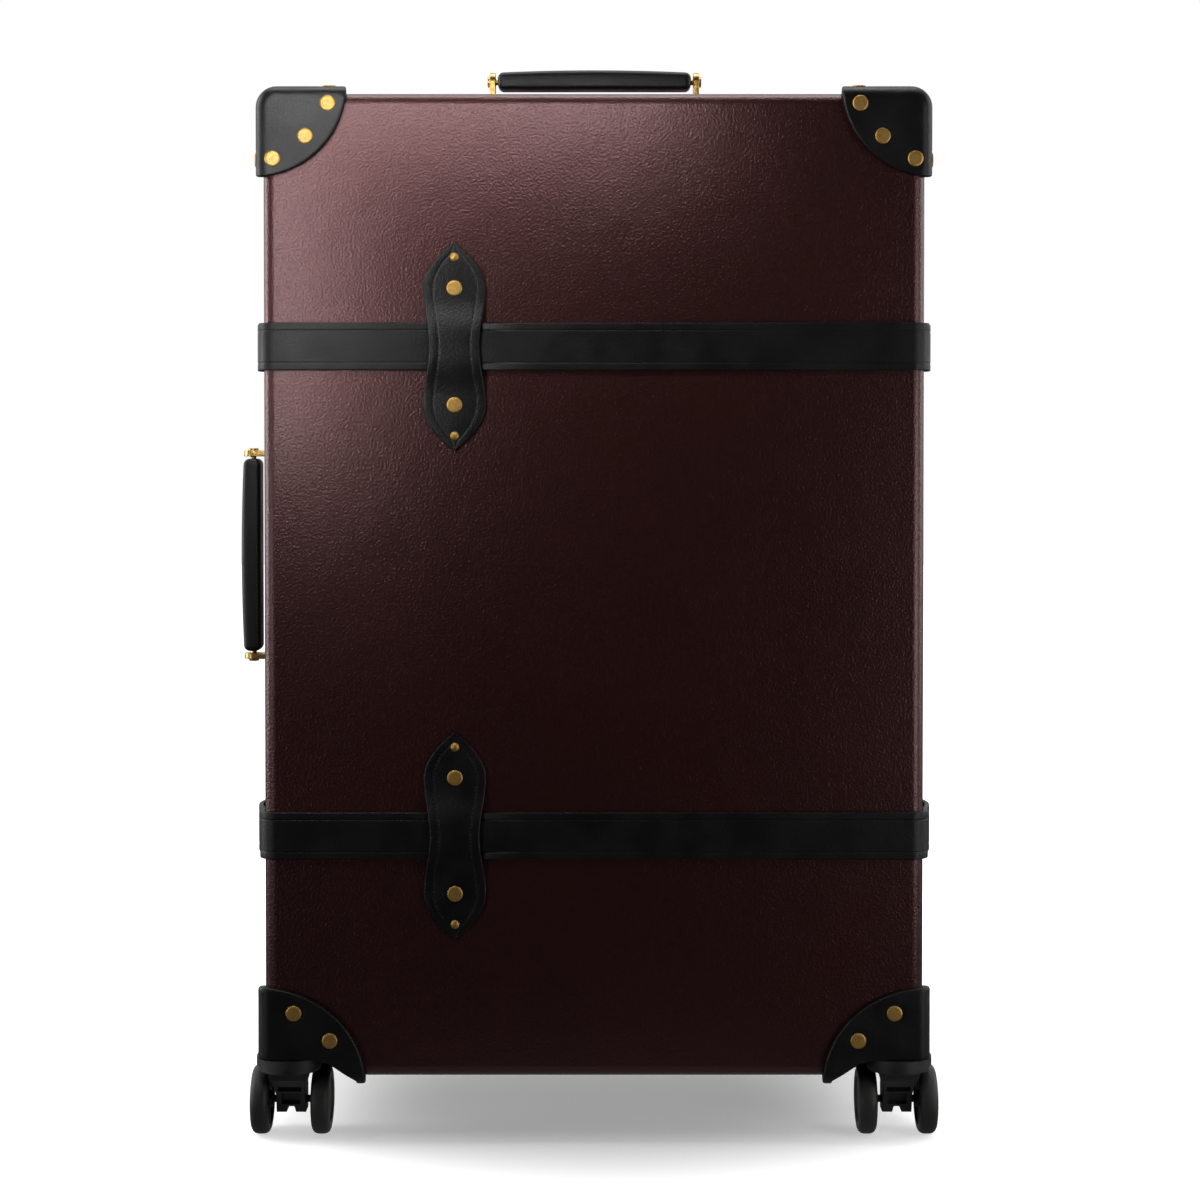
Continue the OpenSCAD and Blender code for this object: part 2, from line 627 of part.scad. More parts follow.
module lock_hasp(z) color(brass) at_lock(z) {
    translate([hasp_x, hasp_y, 0]) {
        cylinder(h = hasp_w, r = hasp_r, center = true, $fn = 48);
        cylinder(h = lock_w, r = hasp_pin_r, center = true, $fn = 48);
    }
    outer = hasp_x + hasp_r;
    box([outer - hasp_t, -hasp_reach, -hasp_w / 2], [outer, hasp_y, hasp_w / 2]);
    box([lock_plate_t + touch_gap, -hasp_reach, -hasp_w / 3],
        [outer - hasp_t / 2, hasp_lip - hasp_reach, hasp_w / 3]);
}
module lock_button(z) color(brass) at_lock(z) {
    y = button_slot_y + touch_gap;
    box([lock_plate_t + 1 + touch_gap, y, -stem_w / 2], [lock_h + touch_gap + 1, y + stem_w, stem_w / 2]);
    box([lock_h + touch_gap, y + stem_w / 2 - button_len / 2, -button_w / 2],
        [lock_h + touch_gap + 2.5, y + stem_w / 2 + button_len / 2, button_w / 2]);
}
module lock_catches() color(brass) for (z = lock_zs) at_lock(z) {
    bar_y = hasp_lip - hasp_reach + touch_gap;
    box([0, -hasp_reach - 8, -lock_w / 2 + 3], [lock_plate_t, -2, lock_w / 2 - 3]);
    box([lock_plate_t / 2, bar_y, -hasp_w / 2],
        [hasp_x + hasp_r - hasp_t - touch_gap, bar_y + 4, hasp_w / 2]);
}

// ---- Carrying handles ----

lug_gap = 2;                          // air between a grip's end and its lug
lug_x = grip_len / 2 + lug_gap;       // inner face of a lug
pin_in = 12;                          // how deep a pin reaches into the grip
foot_t = 2;                           // thickness of a lug's foot
foot_len = 20;                        // reach of the foot beyond the lug
foot_side = 4;                        // reach of the foot on both sides of the lug
module at_top_handle() translate([0, handles_y, top_z]) children();
module at_side_handle() translate([-side_x, handles_y, side_handle_z]) rotate([0, -90, 0]) children();
module handle_lugs() color(brass) for (s = [-1, 1]) scale([s, 1, 1]) {
    head_r = grip_pin_r + 2;
    translate([lug_x, 0, 0]) rotate([90, 0, 90]) linear_extrude(lug_t) polygon(concat(
        [[-lug_w / 2, 0]], reversed(arc(0, grip_pin_h, lug_w / 2, 0, 180, 16)), [[lug_w / 2, 0]]));
    box([lug_x, -lug_w / 2 - foot_side, 0], [lug_x + lug_t + foot_len, lug_w / 2 + foot_side, foot_t]);
    translate([lug_x + lug_t / 2, 0, grip_pin_h]) rotate([0, -90, 0])
        cylinder(h = lug_t / 2 + lug_gap + pin_in, r = grip_pin_r, $fn = 48);
    translate([lug_x + lug_t - 1, 0, grip_pin_h]) rotate([0, 90, 0]) cylinder(h = 3, r = head_r, $fn = 48);
}
module handle_grip() color(black_leather) difference() {
    r = 5;
    hull() for (x = [-1, 0, 1], y = [-1, 1], z = [-1, 1]) {
        rise = x == 0 && z > 0 ? grip_crown : 0;
        translate([x * (grip_len / 2 - r), y * (grip_w / 2 - r), grip_pin_h + z * (grip_t / 2 - r) + rise])
            sphere(r / cos(180 / body_fn), $fn = body_fn);
    }
    for (s = [-1, 1]) translate([s * (grip_len / 2 + 1), 0, grip_pin_h]) rotate([0, -s * 90, 0])
        cylinder(h = pin_in + 2, r = grip_pin_r + run_fit, $fn = 48);
}
module top_handle_lugs() at_top_handle() handle_lugs();
module side_handle_lugs() at_side_handle() handle_lugs();
module top_handle_grip() at_top_handle() handle_grip();
module side_handle_grip() at_side_handle() handle_grip();

// ---- Pull handle in the top of the rear half ----

cup_len = tube_pitch + 2 * (tube_r + cup_end_room);
middle_r = tube_r - tube_wall - run_fit;
inner_tube_r = middle_r - tube_wall - run_fit;
pull_grip_z = cup_floor_z + 3;
pull_grip_len = tube_pitch + 2 * inner_tube_r + 8;
module cup_opening(grow) translate([0, tubes_y, cup_floor_z - cup_wall - grow]) linear_extrude(far)
    polygon(rounded(cup_len + 2 * (cup_wall + grow), cup_w + 2 * (cup_wall + grow), 6));
module at_tubes() for (s = [-1, 1]) translate([s * tube_pitch / 2, tubes_y, 0]) children();
module trolley_cup() color(black_plastic) difference() {
    union() {
        translate([0, tubes_y, cup_floor_z - cup_wall]) linear_extrude(cup_depth + cup_wall)
            polygon(rounded(cup_len + 2 * cup_wall, cup_w + 2 * cup_wall, 6));
        translate([0, tubes_y, top_z]) linear_extrude(cup_rim)
            polygon(rounded(cup_len + 12, cup_w + 2 * cup_wall + 2 * cup_rim, 7));
    }
    translate([0, tubes_y, cup_floor_z]) linear_extrude(far) polygon(rounded(cup_len, cup_w, 6));
    at_tubes() translate([0, 0, cup_floor_z - 2 * cup_wall])
            cylinder(h = 4 * cup_wall, r = tube_r, $fn = 64);
}
module tube(r, z0, z1, wall = tube_wall) translate([0, 0, z0]) difference() {
    cylinder(h = z1 - z0, r = r, $fn = 64);
    translate([0, 0, -1]) cylinder(h = z1 - z0 + 2, r = r - wall, $fn = 64);
}
module trolley_outer_tubes() color(steel) {
    foot_z = cup_floor_z - tube_len;
    at_tubes() tube(tube_r, foot_z, cup_floor_z);
    foot_x = tube_pitch / 2 + tube_r + 10;
    box([-foot_x, tubes_y - tube_r, foot_z - 4], [foot_x, rear_y - board_t, foot_z]);
}
module trolley_middle_tubes() color(steel) at_tubes()
    tube(middle_r, cup_floor_z - tube_len + 4, cup_floor_z + 1);
module trolley_inner_tubes() color(steel) at_tubes()
    tube(inner_tube_r, cup_floor_z - tube_len + 8, pull_grip_z + 10);
module trolley_grip() color(black_plastic) translate([0, tubes_y, 0]) difference() {
    translate([0, 0, pull_grip_z]) rotate([90, 0, 0]) translate([0, pull_grip_h / 2, -pull_grip_w / 2])
        linear_extrude(pull_grip_w) polygon(rounded(pull_grip_len, pull_grip_h, 5));
    for (s = [-1, 1]) translate([s * tube_pitch / 2, 0, pull_grip_z - 1])
        cylinder(h = 11, r = inner_tube_r, $fn = 64);
    pull_button_hole(touch_gap, pull_button_travel + touch_gap);
}
pull_button_w = 10;
pull_button_h = 5;
// The button's block, grown sideways and downwards
module pull_button_hole(side, down) {
    z1 = pull_grip_z + pull_grip_h;
    box([-pull_button_len / 2 - side, -pull_button_w / 2 - side, z1 - pull_button_h - down],
        [pull_button_len / 2 + side, pull_button_w / 2 + side, z1 + pull_button_travel - 1]);
}
module trolley_button() color(brass) translate([0, tubes_y, 0]) pull_button_hole(0, 0);

// ---- Casters ----

cup_t = 2.5;                              // wall of the moulded cup in each recess
mount_r = 27;                             // radius of the collar above the fork
collar_h = 7;
collar_z = recess_z - collar_h;           // underside of the fixed collar
head_r = 25;
head_z = collar_z - touch_gap;            // top of the swivelling head
head_h = 4;
pin_len = collar_h + head_h + 6;
axle_end = (wheel_pitch + wheel_w) / 2 - 4; // distance of an axle's end from the fork's middle
cheek_x = (wheel_pitch - wheel_w) / 2 - 0.5; // half the fork's width at its top, between the wheels
module caster_mount(x, y) color(black_plastic) {
    difference() {
        recess(x, y, cup_t);
        recess(x, y, 0);
        box([-far, -far, case_z - far], [far, far, case_z + board_t]);
        difference() {
            box([-far, -far, 0], [far, far, 2 * far]);
            case_form(board_t, inner_r);
        }
    }
    translate([x, y, collar_z]) cylinder(h = collar_h, r = mount_r, $fn = 64);
    translate([x, y, recess_z - pin_len]) cylinder(h = pin_len, r = swivel_pin_r, $fn = 48);
}
module front_caster_mounts() for (s = [-1, 1]) caster_mount(s * swivel_x, swivel_front_y);
module rear_caster_mounts() for (s = [-1, 1]) caster_mount(s * swivel_x, swivel_rear_y);

module caster_fork(x, y) color(black_plastic) translate([x, y, 0]) {
    foot_z = wheel_r - 9;
    neck_z = head_z - head_h;
    pin_end = recess_z - pin_len - 1;
    difference() {
        union() {
            translate([0, 0, neck_z]) cylinder(h = head_h, r = head_r, $fn = 64);
            intersection() {
                rotate([90, 0, 90]) linear_extrude(4 * head_r, center = true) polygon([
                    [-head_r * 0.7, neck_z + 1], [head_r * 0.7, neck_z + 1], [trail + 9, wheel_r + 10],
                    [trail + 8, foot_z], [trail - 8, foot_z], [trail - 12, wheel_r + 6],
                    [-head_r * 0.7, neck_z - 6]]);
                rotate([90, 0, 0]) linear_extrude(4 * head_r, center = true) polygon([
                    [-fork_w / 2, foot_z], [fork_w / 2, foot_z], [fork_w / 2, wheel_r + 14],
                    [cheek_x, neck_z], [cheek_x, neck_z + 2], [-cheek_x, neck_z + 2], [-cheek_x, neck_z],
                    [-fork_w / 2, wheel_r + 14]]);
            }
        }
        translate([0, 0, pin_end]) cylinder(h = far, r = swivel_pin_r + run_fit, $fn = 48);
        translate([0, trail, wheel_r]) rotate([0, 90, 0])
            cylinder(h = 3 * fork_w, r = axle_r, center = true, $fn = 48);
        // Notch between the two feet
        rotate([90, 0, 0]) linear_extrude(4 * head_r, center = true)
            polygon([[-4, foot_z - 1], [4, foot_z - 1], [2.6, foot_z + 5], [-2.6, foot_z + 5]]);
    }
    color(steel) translate([0, trail, wheel_r]) rotate([0, 90, 0])
        cylinder(h = 2 * axle_end, r = axle_r, center = true, $fn = 48);
}
// A wheel with a rounded tread, a hub that runs on the axle and round pockets in its inner face.
// side is -1 for the wheel on the caster's left and 1 for the one on its right
module wheel(x, y, side) color(tyre_black) translate([x, y + trail, wheel_r]) scale([side, 1, 1])
        rotate([0, 90, 0]) {
    inner = wheel_pitch / 2 - wheel_w / 2;
    outer = wheel_pitch / 2 + wheel_w / 2;
    shoulder = 4;
    hub_r = axle_r + 4;
    pocket_r = 4.6;
    difference() {
        rotate_extrude($fn = 96) polygon(concat(
            [[0, fork_w / 2 + 0.5], [hub_r, fork_w / 2 + 0.5], [hub_r, inner + 2], [wheel_r - 7, inner + 2],
                [wheel_r - 6, inner]],
            arc(wheel_r - shoulder, inner + shoulder, shoulder, -90, 0, 5),
            arc(wheel_r - shoulder, outer - shoulder, shoulder, 0, 90, 5),
            [[wheel_r - 8, outer], [wheel_r - 9, outer - 1.5], [0, outer - 1.5]]));
        translate([0, 0, fork_w / 2 - 1])
            cylinder(h = axle_end + 2 - fork_w / 2, r = axle_r + run_fit, $fn = 48);
        for (i = [0:7]) rotate(45 * i) translate([(hub_r + wheel_r - 8) / 2 + 0.5, 0, inner])
            cylinder(h = wheel_w - 5, r = pocket_r, $fn = 32);
    }
}

// ---- Every node in turn ----

base_shell();
base_frame();
base_lining();
packing_straps();
leather_corner(-1, 1, 1);  // base_corner_top_left
leather_corner(1, 1, 1);  // base_corner_top_right
leather_corner(-1, 1, -1);  // base_corner_bottom_left
leather_corner(1, 1, -1);  // base_corner_bottom_right
base_rivets();
base_keepers();
base_straps();
hinge_leaves_base();
hinge_pins();
lock_bodies();
top_handle_lugs();
side_handle_lugs();
trolley_cup();
trolley_outer_tubes();
rear_caster_mounts();
lid_shell();
lid_frame();
lid_lining();
lid_pocket();
leather_corner(-1, -1, 1);  // lid_corner_top_left
leather_corner(1, -1, 1);  // lid_corner_top_right
leather_corner(-1, -1, -1);  // lid_corner_bottom_left
leather_corner(1, -1, -1);  // lid_corner_bottom_right
lid_rivets();
lid_keepers();
lid_straps();
hinge_leaves_lid();
lock_catches();
front_caster_mounts();
top_handle_grip();
side_handle_grip();
trolley_middle_tubes();
trolley_inner_tubes();
trolley_grip();
trolley_button();
lock_hasp(upper_fitting_z);  // lock_hasp_upper
lock_hasp(lower_fitting_z);  // lock_hasp_lower
lock_button(upper_fitting_z);  // lock_button_upper
lock_button(lower_fitting_z);  // lock_button_lower
buckle_frame(upper_strap_z);  // buckle_frame_upper
buckle_frame(lower_strap_z);  // buckle_frame_lower
buckle_prong(upper_strap_z);  // buckle_prong_upper
buckle_prong(lower_strap_z);  // buckle_prong_lower
caster_fork(-swivel_x, swivel_front_y);  // caster_fork_front_left
caster_fork(swivel_x, swivel_front_y);  // caster_fork_front_right
caster_fork(-swivel_x, swivel_rear_y);  // caster_fork_rear_left
caster_fork(swivel_x, swivel_rear_y);  // caster_fork_rear_right
wheel(-swivel_x, swivel_front_y, -1);  // wheel_front_left_outer
wheel(-swivel_x, swivel_front_y, 1);  // wheel_front_left_inner
wheel(swivel_x, swivel_front_y, -1);  // wheel_front_right_inner
wheel(swivel_x, swivel_front_y, 1);  // wheel_front_right_outer
wheel(-swivel_x, swivel_rear_y, -1);  // wheel_rear_left_outer
wheel(-swivel_x, swivel_rear_y, 1);  // wheel_rear_left_inner
wheel(swivel_x, swivel_rear_y, -1);  // wheel_rear_right_inner
wheel(swivel_x, swivel_rear_y, 1);  // wheel_rear_right_outer
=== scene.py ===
import math

import bmesh
import bpy
from mathutils import Matrix, Vector


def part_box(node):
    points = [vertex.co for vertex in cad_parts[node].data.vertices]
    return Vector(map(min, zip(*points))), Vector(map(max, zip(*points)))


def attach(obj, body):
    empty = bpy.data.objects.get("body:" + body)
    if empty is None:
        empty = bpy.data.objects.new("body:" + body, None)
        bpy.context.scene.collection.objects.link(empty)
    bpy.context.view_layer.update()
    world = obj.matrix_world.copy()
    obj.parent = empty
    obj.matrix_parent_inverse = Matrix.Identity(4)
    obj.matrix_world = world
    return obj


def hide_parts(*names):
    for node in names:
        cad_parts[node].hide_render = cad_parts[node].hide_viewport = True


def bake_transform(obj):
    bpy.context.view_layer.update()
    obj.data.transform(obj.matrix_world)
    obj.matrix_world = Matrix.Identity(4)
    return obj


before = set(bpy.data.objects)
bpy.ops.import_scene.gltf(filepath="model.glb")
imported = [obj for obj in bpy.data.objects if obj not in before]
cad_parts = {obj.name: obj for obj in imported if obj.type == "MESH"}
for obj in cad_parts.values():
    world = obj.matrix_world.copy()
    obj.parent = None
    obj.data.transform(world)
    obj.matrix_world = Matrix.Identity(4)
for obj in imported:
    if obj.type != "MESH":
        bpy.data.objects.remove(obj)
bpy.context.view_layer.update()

# ---- Fibre boards ----
# The case is two open boxes of vulcanised fibre board, 3 mm thick, bent hot at every edge and dyed
# oxblood right through. The face keeps the fine pebbled skin of the pressed board under a satin lacquer.

mm = 0.001
lid_low, lid_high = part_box("lid_shell")
base_low, base_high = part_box("base_shell")
side, front, rear = base_high.x, lid_low.y, base_high.y
bottom, top = base_low.z, base_high.z
parting = (lid_high.y + base_low.y) / 2
board = 3 * mm
board_edge = 10 * mm
parting_gap = 0.3 * mm
rim_ease = 0.8 * mm


def paint(red, green, blue):
    """A screen colour from 0 to 255, as the linear values that a shader takes."""
    def linear(level):
        share = level / 255
        return share / 12.92 if share <= 0.04045 else ((share + 0.055) / 1.055) ** 2.4
    return linear(red), linear(green), linear(blue), 1.0


class Wire:
    """What one node of a finish gives. Arithmetic on it adds Math nodes."""

    def __init__(self, wiring, socket):
        self.wiring, self.socket = wiring, socket

    def maths(self, operation, first, second):
        return self.wiring.node("Math", {"operation": operation}, {0: first, 1: second})

    def __add__(self, other):
        return self.maths("ADD", self, other)

    def __rsub__(self, other):
        return self.maths("SUBTRACT", other, self)

    def __mul__(self, other):
        return self.maths("MULTIPLY", self, other)


class Wiring:
    """A node tree whose nodes are added one at a time."""

    def __init__(self, tree):
        self.nodes, self.links = tree.nodes, tree.links

    def plug(self, node, inputs):
        for name, value in inputs.items():
            if isinstance(value, Wire):
                self.links.new(value.socket, node.inputs[name])
            else:
                node.inputs[name].default_value = value

    def node(self, kind, settings, inputs, output=0):
        made = self.nodes.new("ShaderNode" + kind)
        for name, value in settings.items():
            if name == "stops":
                while len(made.color_ramp.elements) < len(value):
                    made.color_ramp.elements.new(0.5)
                for element, (position, shade) in zip(made.color_ramp.elements, value):
                    element.position, element.color = position, shade
            else:
                setattr(made, name, value)
        self.plug(made, inputs)
        return Wire(self, made.outputs[output])

    def mix(self, factor, first, second):
        return self.node("Mix", {"data_type": "RGBA"}, {0: factor, 6: first, 7: second}, 2)

    def between(self, value, low, high, new_low=0.0, new_high=1.0):
        """Stretches low..high to new_low..new_high, and holds what lies outside at the ends."""
        return self.node("MapRange", {"interpolation_type": "SMOOTHSTEP"},
                         {"Value": value, "From Min": low, "From Max": high,
                          "To Min": new_low, "To Max": new_high})


class Finish(Wiring):
    """A material round one Principled shader, whose constant sockets are set when it is made."""

    def __init__(self, name, constants):
        self.material = bpy.data.materials.new(name)
        self.material.use_nodes = True
        super().__init__(self.material.node_tree)
        self.shader = self.nodes["Principled BSDF"]
        self.feed(constants)
        self.place = self.node("TexCoord", {}, {}, "Object")

    def feed(self, inputs):
        self.plug(self.shader, inputs)

    def stretched(self, along_x, along_y, along_z):
        return self.node("Mapping", {}, {"Vector": self.place, "Scale": (along_x, along_y, along_z)})

    def noise(self, scale, detail=2.0, roughness=0.5, place=None, distortion=0.0):
        """Noise with scale grains a metre, or as many as a stretched place gives when scale is 1."""
        return self.node("TexNoise", {}, {"Vector": place or self.place, "Scale": scale, "Detail": detail,
                                          "Roughness": roughness, "Distortion": distortion})

    def wave(self, scale, direction="DIAGONAL", distortion=0.0):
        return self.node("TexWave", {"bands_direction": direction},
                         {"Vector": self.place, "Scale": scale, "Distortion": distortion})

    def raise_by(self, height, depth, under=None):
        """Bumps the normal by height, whose full range stands for depth metres, on top of another bump."""
        inputs = {"Height": height, "Distance": depth, "Strength": 1.0}
        if under:
            inputs["Normal"] = under
        return self.node("Bump", {}, inputs)


def fibre_finish():
    """Dyed fibre board: a pebbled skin over long strands, under a thin lacquer with a reddish shine."""
    finish = Finish("oxblood_fibre", {"Specular IOR Level": 0.75, "Specular Tint": (1, 0.58, 0.6, 1),
                                      "Coat Weight": 0.08, "Coat Roughness": 0.25})
    pebble = finish.noise(520)
    strands = finish.noise(1.0, place=finish.stretched(700, 700, 240), distortion=0.6)
    swell = finish.noise(26)
    mottle = finish.noise(9, 4.0, 0.6)
    shade = finish.mix(finish.between(mottle, 0.3, 0.7), paint(29, 6, 4), paint(35, 8, 6))
    shade = finish.mix(finish.between(strands, 0.35, 0.8, 0.0, 0.3), shade, paint(52, 18, 15))
    surface = finish.raise_by(swell, 0.6 * mm)
    surface = finish.raise_by(pebble, 0.46 * mm, surface)
    surface = finish.raise_by(strands, 0.06 * mm, surface)
    finish.feed({"Base Color": shade, "Roughness": finish.between(pebble, 0.3, 0.7, 0.4, 0.33),
                 "Normal": surface})
    return finish.material


oxblood_fibre = fibre_finish()


def as_piece(name, form, material):
    """Turns a bmesh into a smooth-shaded object of one material."""
    mesh = bpy.data.meshes.new(name)
    bmesh.ops.recalc_face_normals(form, faces=form.faces)
    for face in form.faces:
        face.smooth = True
    form.to_mesh(mesh)
    form.free()
    mesh.materials.append(material)
    piece = bpy.data.objects.new(name, mesh)
    bpy.context.scene.collection.objects.link(piece)
    return piece


def settle(piece):
    """Applies the piece's modifiers to its mesh."""
    depsgraph = bpy.context.evaluated_depsgraph_get()
    done = bpy.data.meshes.new_from_object(piece.evaluated_get(depsgraph))
    piece.modifiers.clear()
    piece.data = done


def even_shading(piece):
    """Keeps flat faces flat beside rounded edges, and applies that with any earlier modifier."""
    piece.modifiers.new("even shading", "WEIGHTED_NORMAL").keep_sharp = True
    settle(piece)


def cut_away(piece, cutter):
    """Takes the cutter's volume out of the piece."""
    cut = piece.modifiers.new("cut", "BOOLEAN")
    cut.operation, cut.solver, cut.object = "DIFFERENCE", "EXACT", cutter
    settle(piece)
    bpy.data.objects.remove(cutter)


def rounded_case(form, inset, radius):
    """Adds the whole case's form to a bmesh, with its faces moved inwards by inset and its edges rounded."""
    size = Vector((2 * (side - inset), rear - front - 2 * inset, top - bottom - 2 * inset))
    middle = Vector((0, (front + rear) / 2, (bottom + top) / 2))
    placed = Matrix.Translation(middle) @ Matrix.Diagonal(size.to_4d())
    made = bmesh.ops.create_cube(form, size=1, matrix=placed)
    edges = list(dict.fromkeys(edge for vert in made["verts"] for edge in vert.link_edges))
    bmesh.ops.bevel(form, geom=made["verts"] + edges, offset=radius, segments=8, profile=0.5, affect="EDGES")


def lay_in_order(form):
    """Lays a form's faces again by the order of their points, as a cut leaves them in no fixed order."""
    form.verts.index_update()
    outlines = []
    for face in form.faces:
        corners = list(face.verts)
        first = corners.index(min(corners, key=lambda vert: vert.index))
        outlines.append(corners[first:] + corners[:first])
    outlines.sort(key=lambda corners: [vert.index for vert in corners])
    bmesh.ops.delete(form, geom=form.faces[:], context="FACES_ONLY")
    for corners in outlines:
        form.faces.new(corners)


def half_shell(name, keep):
    """One open half of the case; keep is 1 for the rear half and -1 for the front one."""
    form = bmesh.new()
    cut_y = parting + keep * parting_gap / 2
    rims = []
    for inset, radius in ((0, board_edge), (board, board_edge - board)):
        old = set(form.verts)
        rounded_case(form, inset, radius)
        new = dict.fromkeys(part for vert in form.verts if vert not in old
                            for part in [vert, *vert.link_edges, *vert.link_faces])
        bmesh.ops.bisect_plane(form, geom=list(new), plane_co=(0, cut_y, 0), plane_no=(0, -keep, 0),
                               clear_outer=True)
        rim = [vert for vert in form.verts if vert not in old and vert.is_boundary]
        rims.append(sorted(rim, key=lambda vert: math.atan2(vert.co.z - (bottom + top) / 2, vert.co.x)))
    lay_in_order(form)
    outer, inner = rims
    for i in range(len(outer)):
        form.faces.new((outer[i - 1], outer[i], inner[i], inner[i - 1]))
    bmesh.ops.recalc_face_normals(form, faces=form.faces)
    outer_rim = [form.edges.get((outer[i - 1], outer[i])) for i in range(len(outer))]
    bmesh.ops.bevel(form, geom=outer_rim, offset=rim_ease, segments=3, profile=0.5, affect="EDGES")
    return as_piece(name, form, oxblood_fibre)


# Each caster stands in a tapered well, which cuts the corner of the boards from below
well_mouth, well_top, well_depth = 56 * mm, 38 * mm, 14.5 * mm
swivel_inset = 18.5 * mm
swivel_x, swivel_front, swivel_rear = side - swivel_inset, front + swivel_inset, rear - swivel_inset
well_below = 8 * mm


def well_radius(height):
    """Radius of a well at a height above the underside of the case."""
    return well_mouth + (well_top - well_mouth) * height / well_depth


def well_cutter(x, y):
    """What a caster's well takes out of a board, as a piece of its own."""
    form = bmesh.new()
    middle = bottom + (well_depth - well_below) / 2
    bmesh.ops.create_cone(form, cap_ends=True, segments=128, radius1=well_radius(-well_below),
                          radius2=well_top, depth=well_depth + well_below,
                          matrix=Matrix.Translation((x, y, middle)))
    return as_piece("well", form, oxblood_fibre)


def rounded_outline(width, depth, radius, steps=8):
    """Points of a rectangle with round corners about the origin."""
    points = []
    for quarter, (sx, sy) in enumerate(((1, 1), (-1, 1), (-1, -1), (1, -1))):
        for step in range(steps + 1):
            angle = math.radians(90) * (quarter + step / steps)
            points.append((sx * (width / 2 - radius) + radius * math.cos(angle),
                           sy * (depth / 2 - radius) + radius * math.sin(angle)))
    return points


def bridge(form, rings):
    """Adds the faces between each ring of points and the next."""
    for one, two in zip(rings, rings[1:]):
        for i in range(len(one)):
            j = (i + 1) % len(one)
            form.faces.new((one[i], one[j], two[j], two[i]))


def close_ends(form, rings):
    """Adds a face over the first ring and one over the last."""
    form.faces.new(rings[0])
    form.faces.new(rings[-1])


def block(form, *outlines):
    """Adds a closed block between two outlines of points."""
    rings = [[form.verts.new(point) for point in outline] for outline in outlines]
    close_ends(form, rings)
    bridge(form, rings)


base_board = half_shell("rear_board", 1)
lid_board = half_shell("front_board", -1)
for sx in (-1, 1):
    cut_away(base_board, well_cutter(sx * swivel_x, swivel_rear))
    cut_away(lid_board, well_cutter(sx * swivel_x, swivel_front))
cup_low, cup_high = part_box("trolley_cup")
cup_wall_w, cup_wall_l, cup_corner = 29.6 * mm, 199.6 * mm, 6 * mm
tubes_y = (cup_low.y + cup_high.y) / 2
slot = bmesh.new()
cup_outline = rounded_outline(cup_wall_l, cup_wall_w, cup_corner)
block(slot, *([(x, y + tubes_y, z) for x, y in cup_outline] for z in (cup_low.z, top + board)))
cut_away(base_board, as_piece("slot", slot, oxblood_fibre))
for shell, body, node in ((base_board, "base", "base_shell"), (lid_board, "lid", "lid_shell")):
    even_shading(shell)
    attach(shell, body)
    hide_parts(node)

# ---- Leather corners ----
# Eight caps of thick black bridle leather, wetted and pressed over the corners. Each is cut to a curve,
# its cut edge is dyed and waxed, and it is riveted through the boards.

leather = 5.5 * mm
leather_edge = 10 * mm
leather_round = 17 * mm
upper_reach, lower_reach, lower_spread = 73 * mm, 79 * mm, 8 * mm
upper_spots = [(53 * mm, 9 * mm), (35 * mm, 35 * mm), (9 * mm, 53 * mm)]
lower_spots = [(24 * mm, 53 * mm), (53 * mm, 31 * mm)]
dimple, dimple_reach = 0.45 * mm, 9 * mm
rays_a_face, face_steps, under_steps = 56, 22, 6
tip_gap, well_probe = 0.4 * mm, 0.25 * mm
# Under the folded leather its lining side gathers towards the board's edge, by this share of the way
# it has come
gathered = 0.02
under_tip = leather + 0.6 * mm
# The leather's edge, as pairs of how far in from its outline and how high between board and face
cut_edge = [(0.0, 0.0), (0.0, 0.72), (0.3 * mm, 0.86), (0.8 * mm, 0.95), (1.6 * mm, 0.99), (2.6 * mm, 1.0)]


def leather_finish(name, tone, grain, depth, gloss):
    """Black leather with creases round its grain cells, at the given grain a metre."""
    finish = Finish(name, {"Specular IOR Level": 0.3})
    cells = finish.node("TexVoronoi", {"feature": "SMOOTH_F1"},
                        {"Vector": finish.place, "Scale": grain, "Smoothness": 0.6})
    creases = finish.noise(grain * 0.4, 3.0, 0.6, distortion=0.5)
    handled = finish.noise(28, 3.0, 0.55)
    swell = finish.noise(70)
    warm = [min(255, tone[i] + (7, 6, 6)[i]) for i in range(3)]
    shade = finish.mix(finish.between(handled, 0.3, 0.75), paint(*tone), paint(*warm))
    surface = finish.raise_by(swell, 0.25 * mm)
    surface = finish.raise_by(cells * 0.6 + creases * 0.4, depth, surface)
    roughness = finish.between(handled, 0.3, 0.7, gloss, gloss + 0.1) + cells * 0.08
    finish.feed({"Base Color": shade, "Roughness": roughness, "Normal": surface})
    return finish.material


moulded_leather = leather_finish("moulded_leather", (9, 8, 8), 700, 0.12 * mm, 0.36)


def ease(first, second, radius):
    """Rounds the edge between two faces: depths inside both faces go in and come out."""
    u, v = radius - first, radius - second
    if u <= 0 or v <= 0:
        return first, second
    shrink = max(u, v) / math.hypot(u, v)
    return radius - u * shrink, radius - v * shrink


def press_over(deep_x, deep_y, deep_z, round_r, edge_r):
    """Moves a point of a sharp box, as depths inside its side, front and top faces, to the rounded box."""
    inset = min(deep_x, deep_z)
    new_inset, deep_y = ease(inset, deep_y, edge_r)
    if deep_x < round_r and deep_z < round_r:
        shrink = (round_r - new_inset) / (round_r - inset)
        deep_x, deep_z = ease(round_r - (round_r - deep_x) * shrink,
                              round_r - (round_r - deep_z) * shrink, round_r)
    elif deep_x < deep_z:
        deep_x = new_inset
    else:
        deep_z = new_inset
    return Vector((deep_x, deep_y, deep_z))


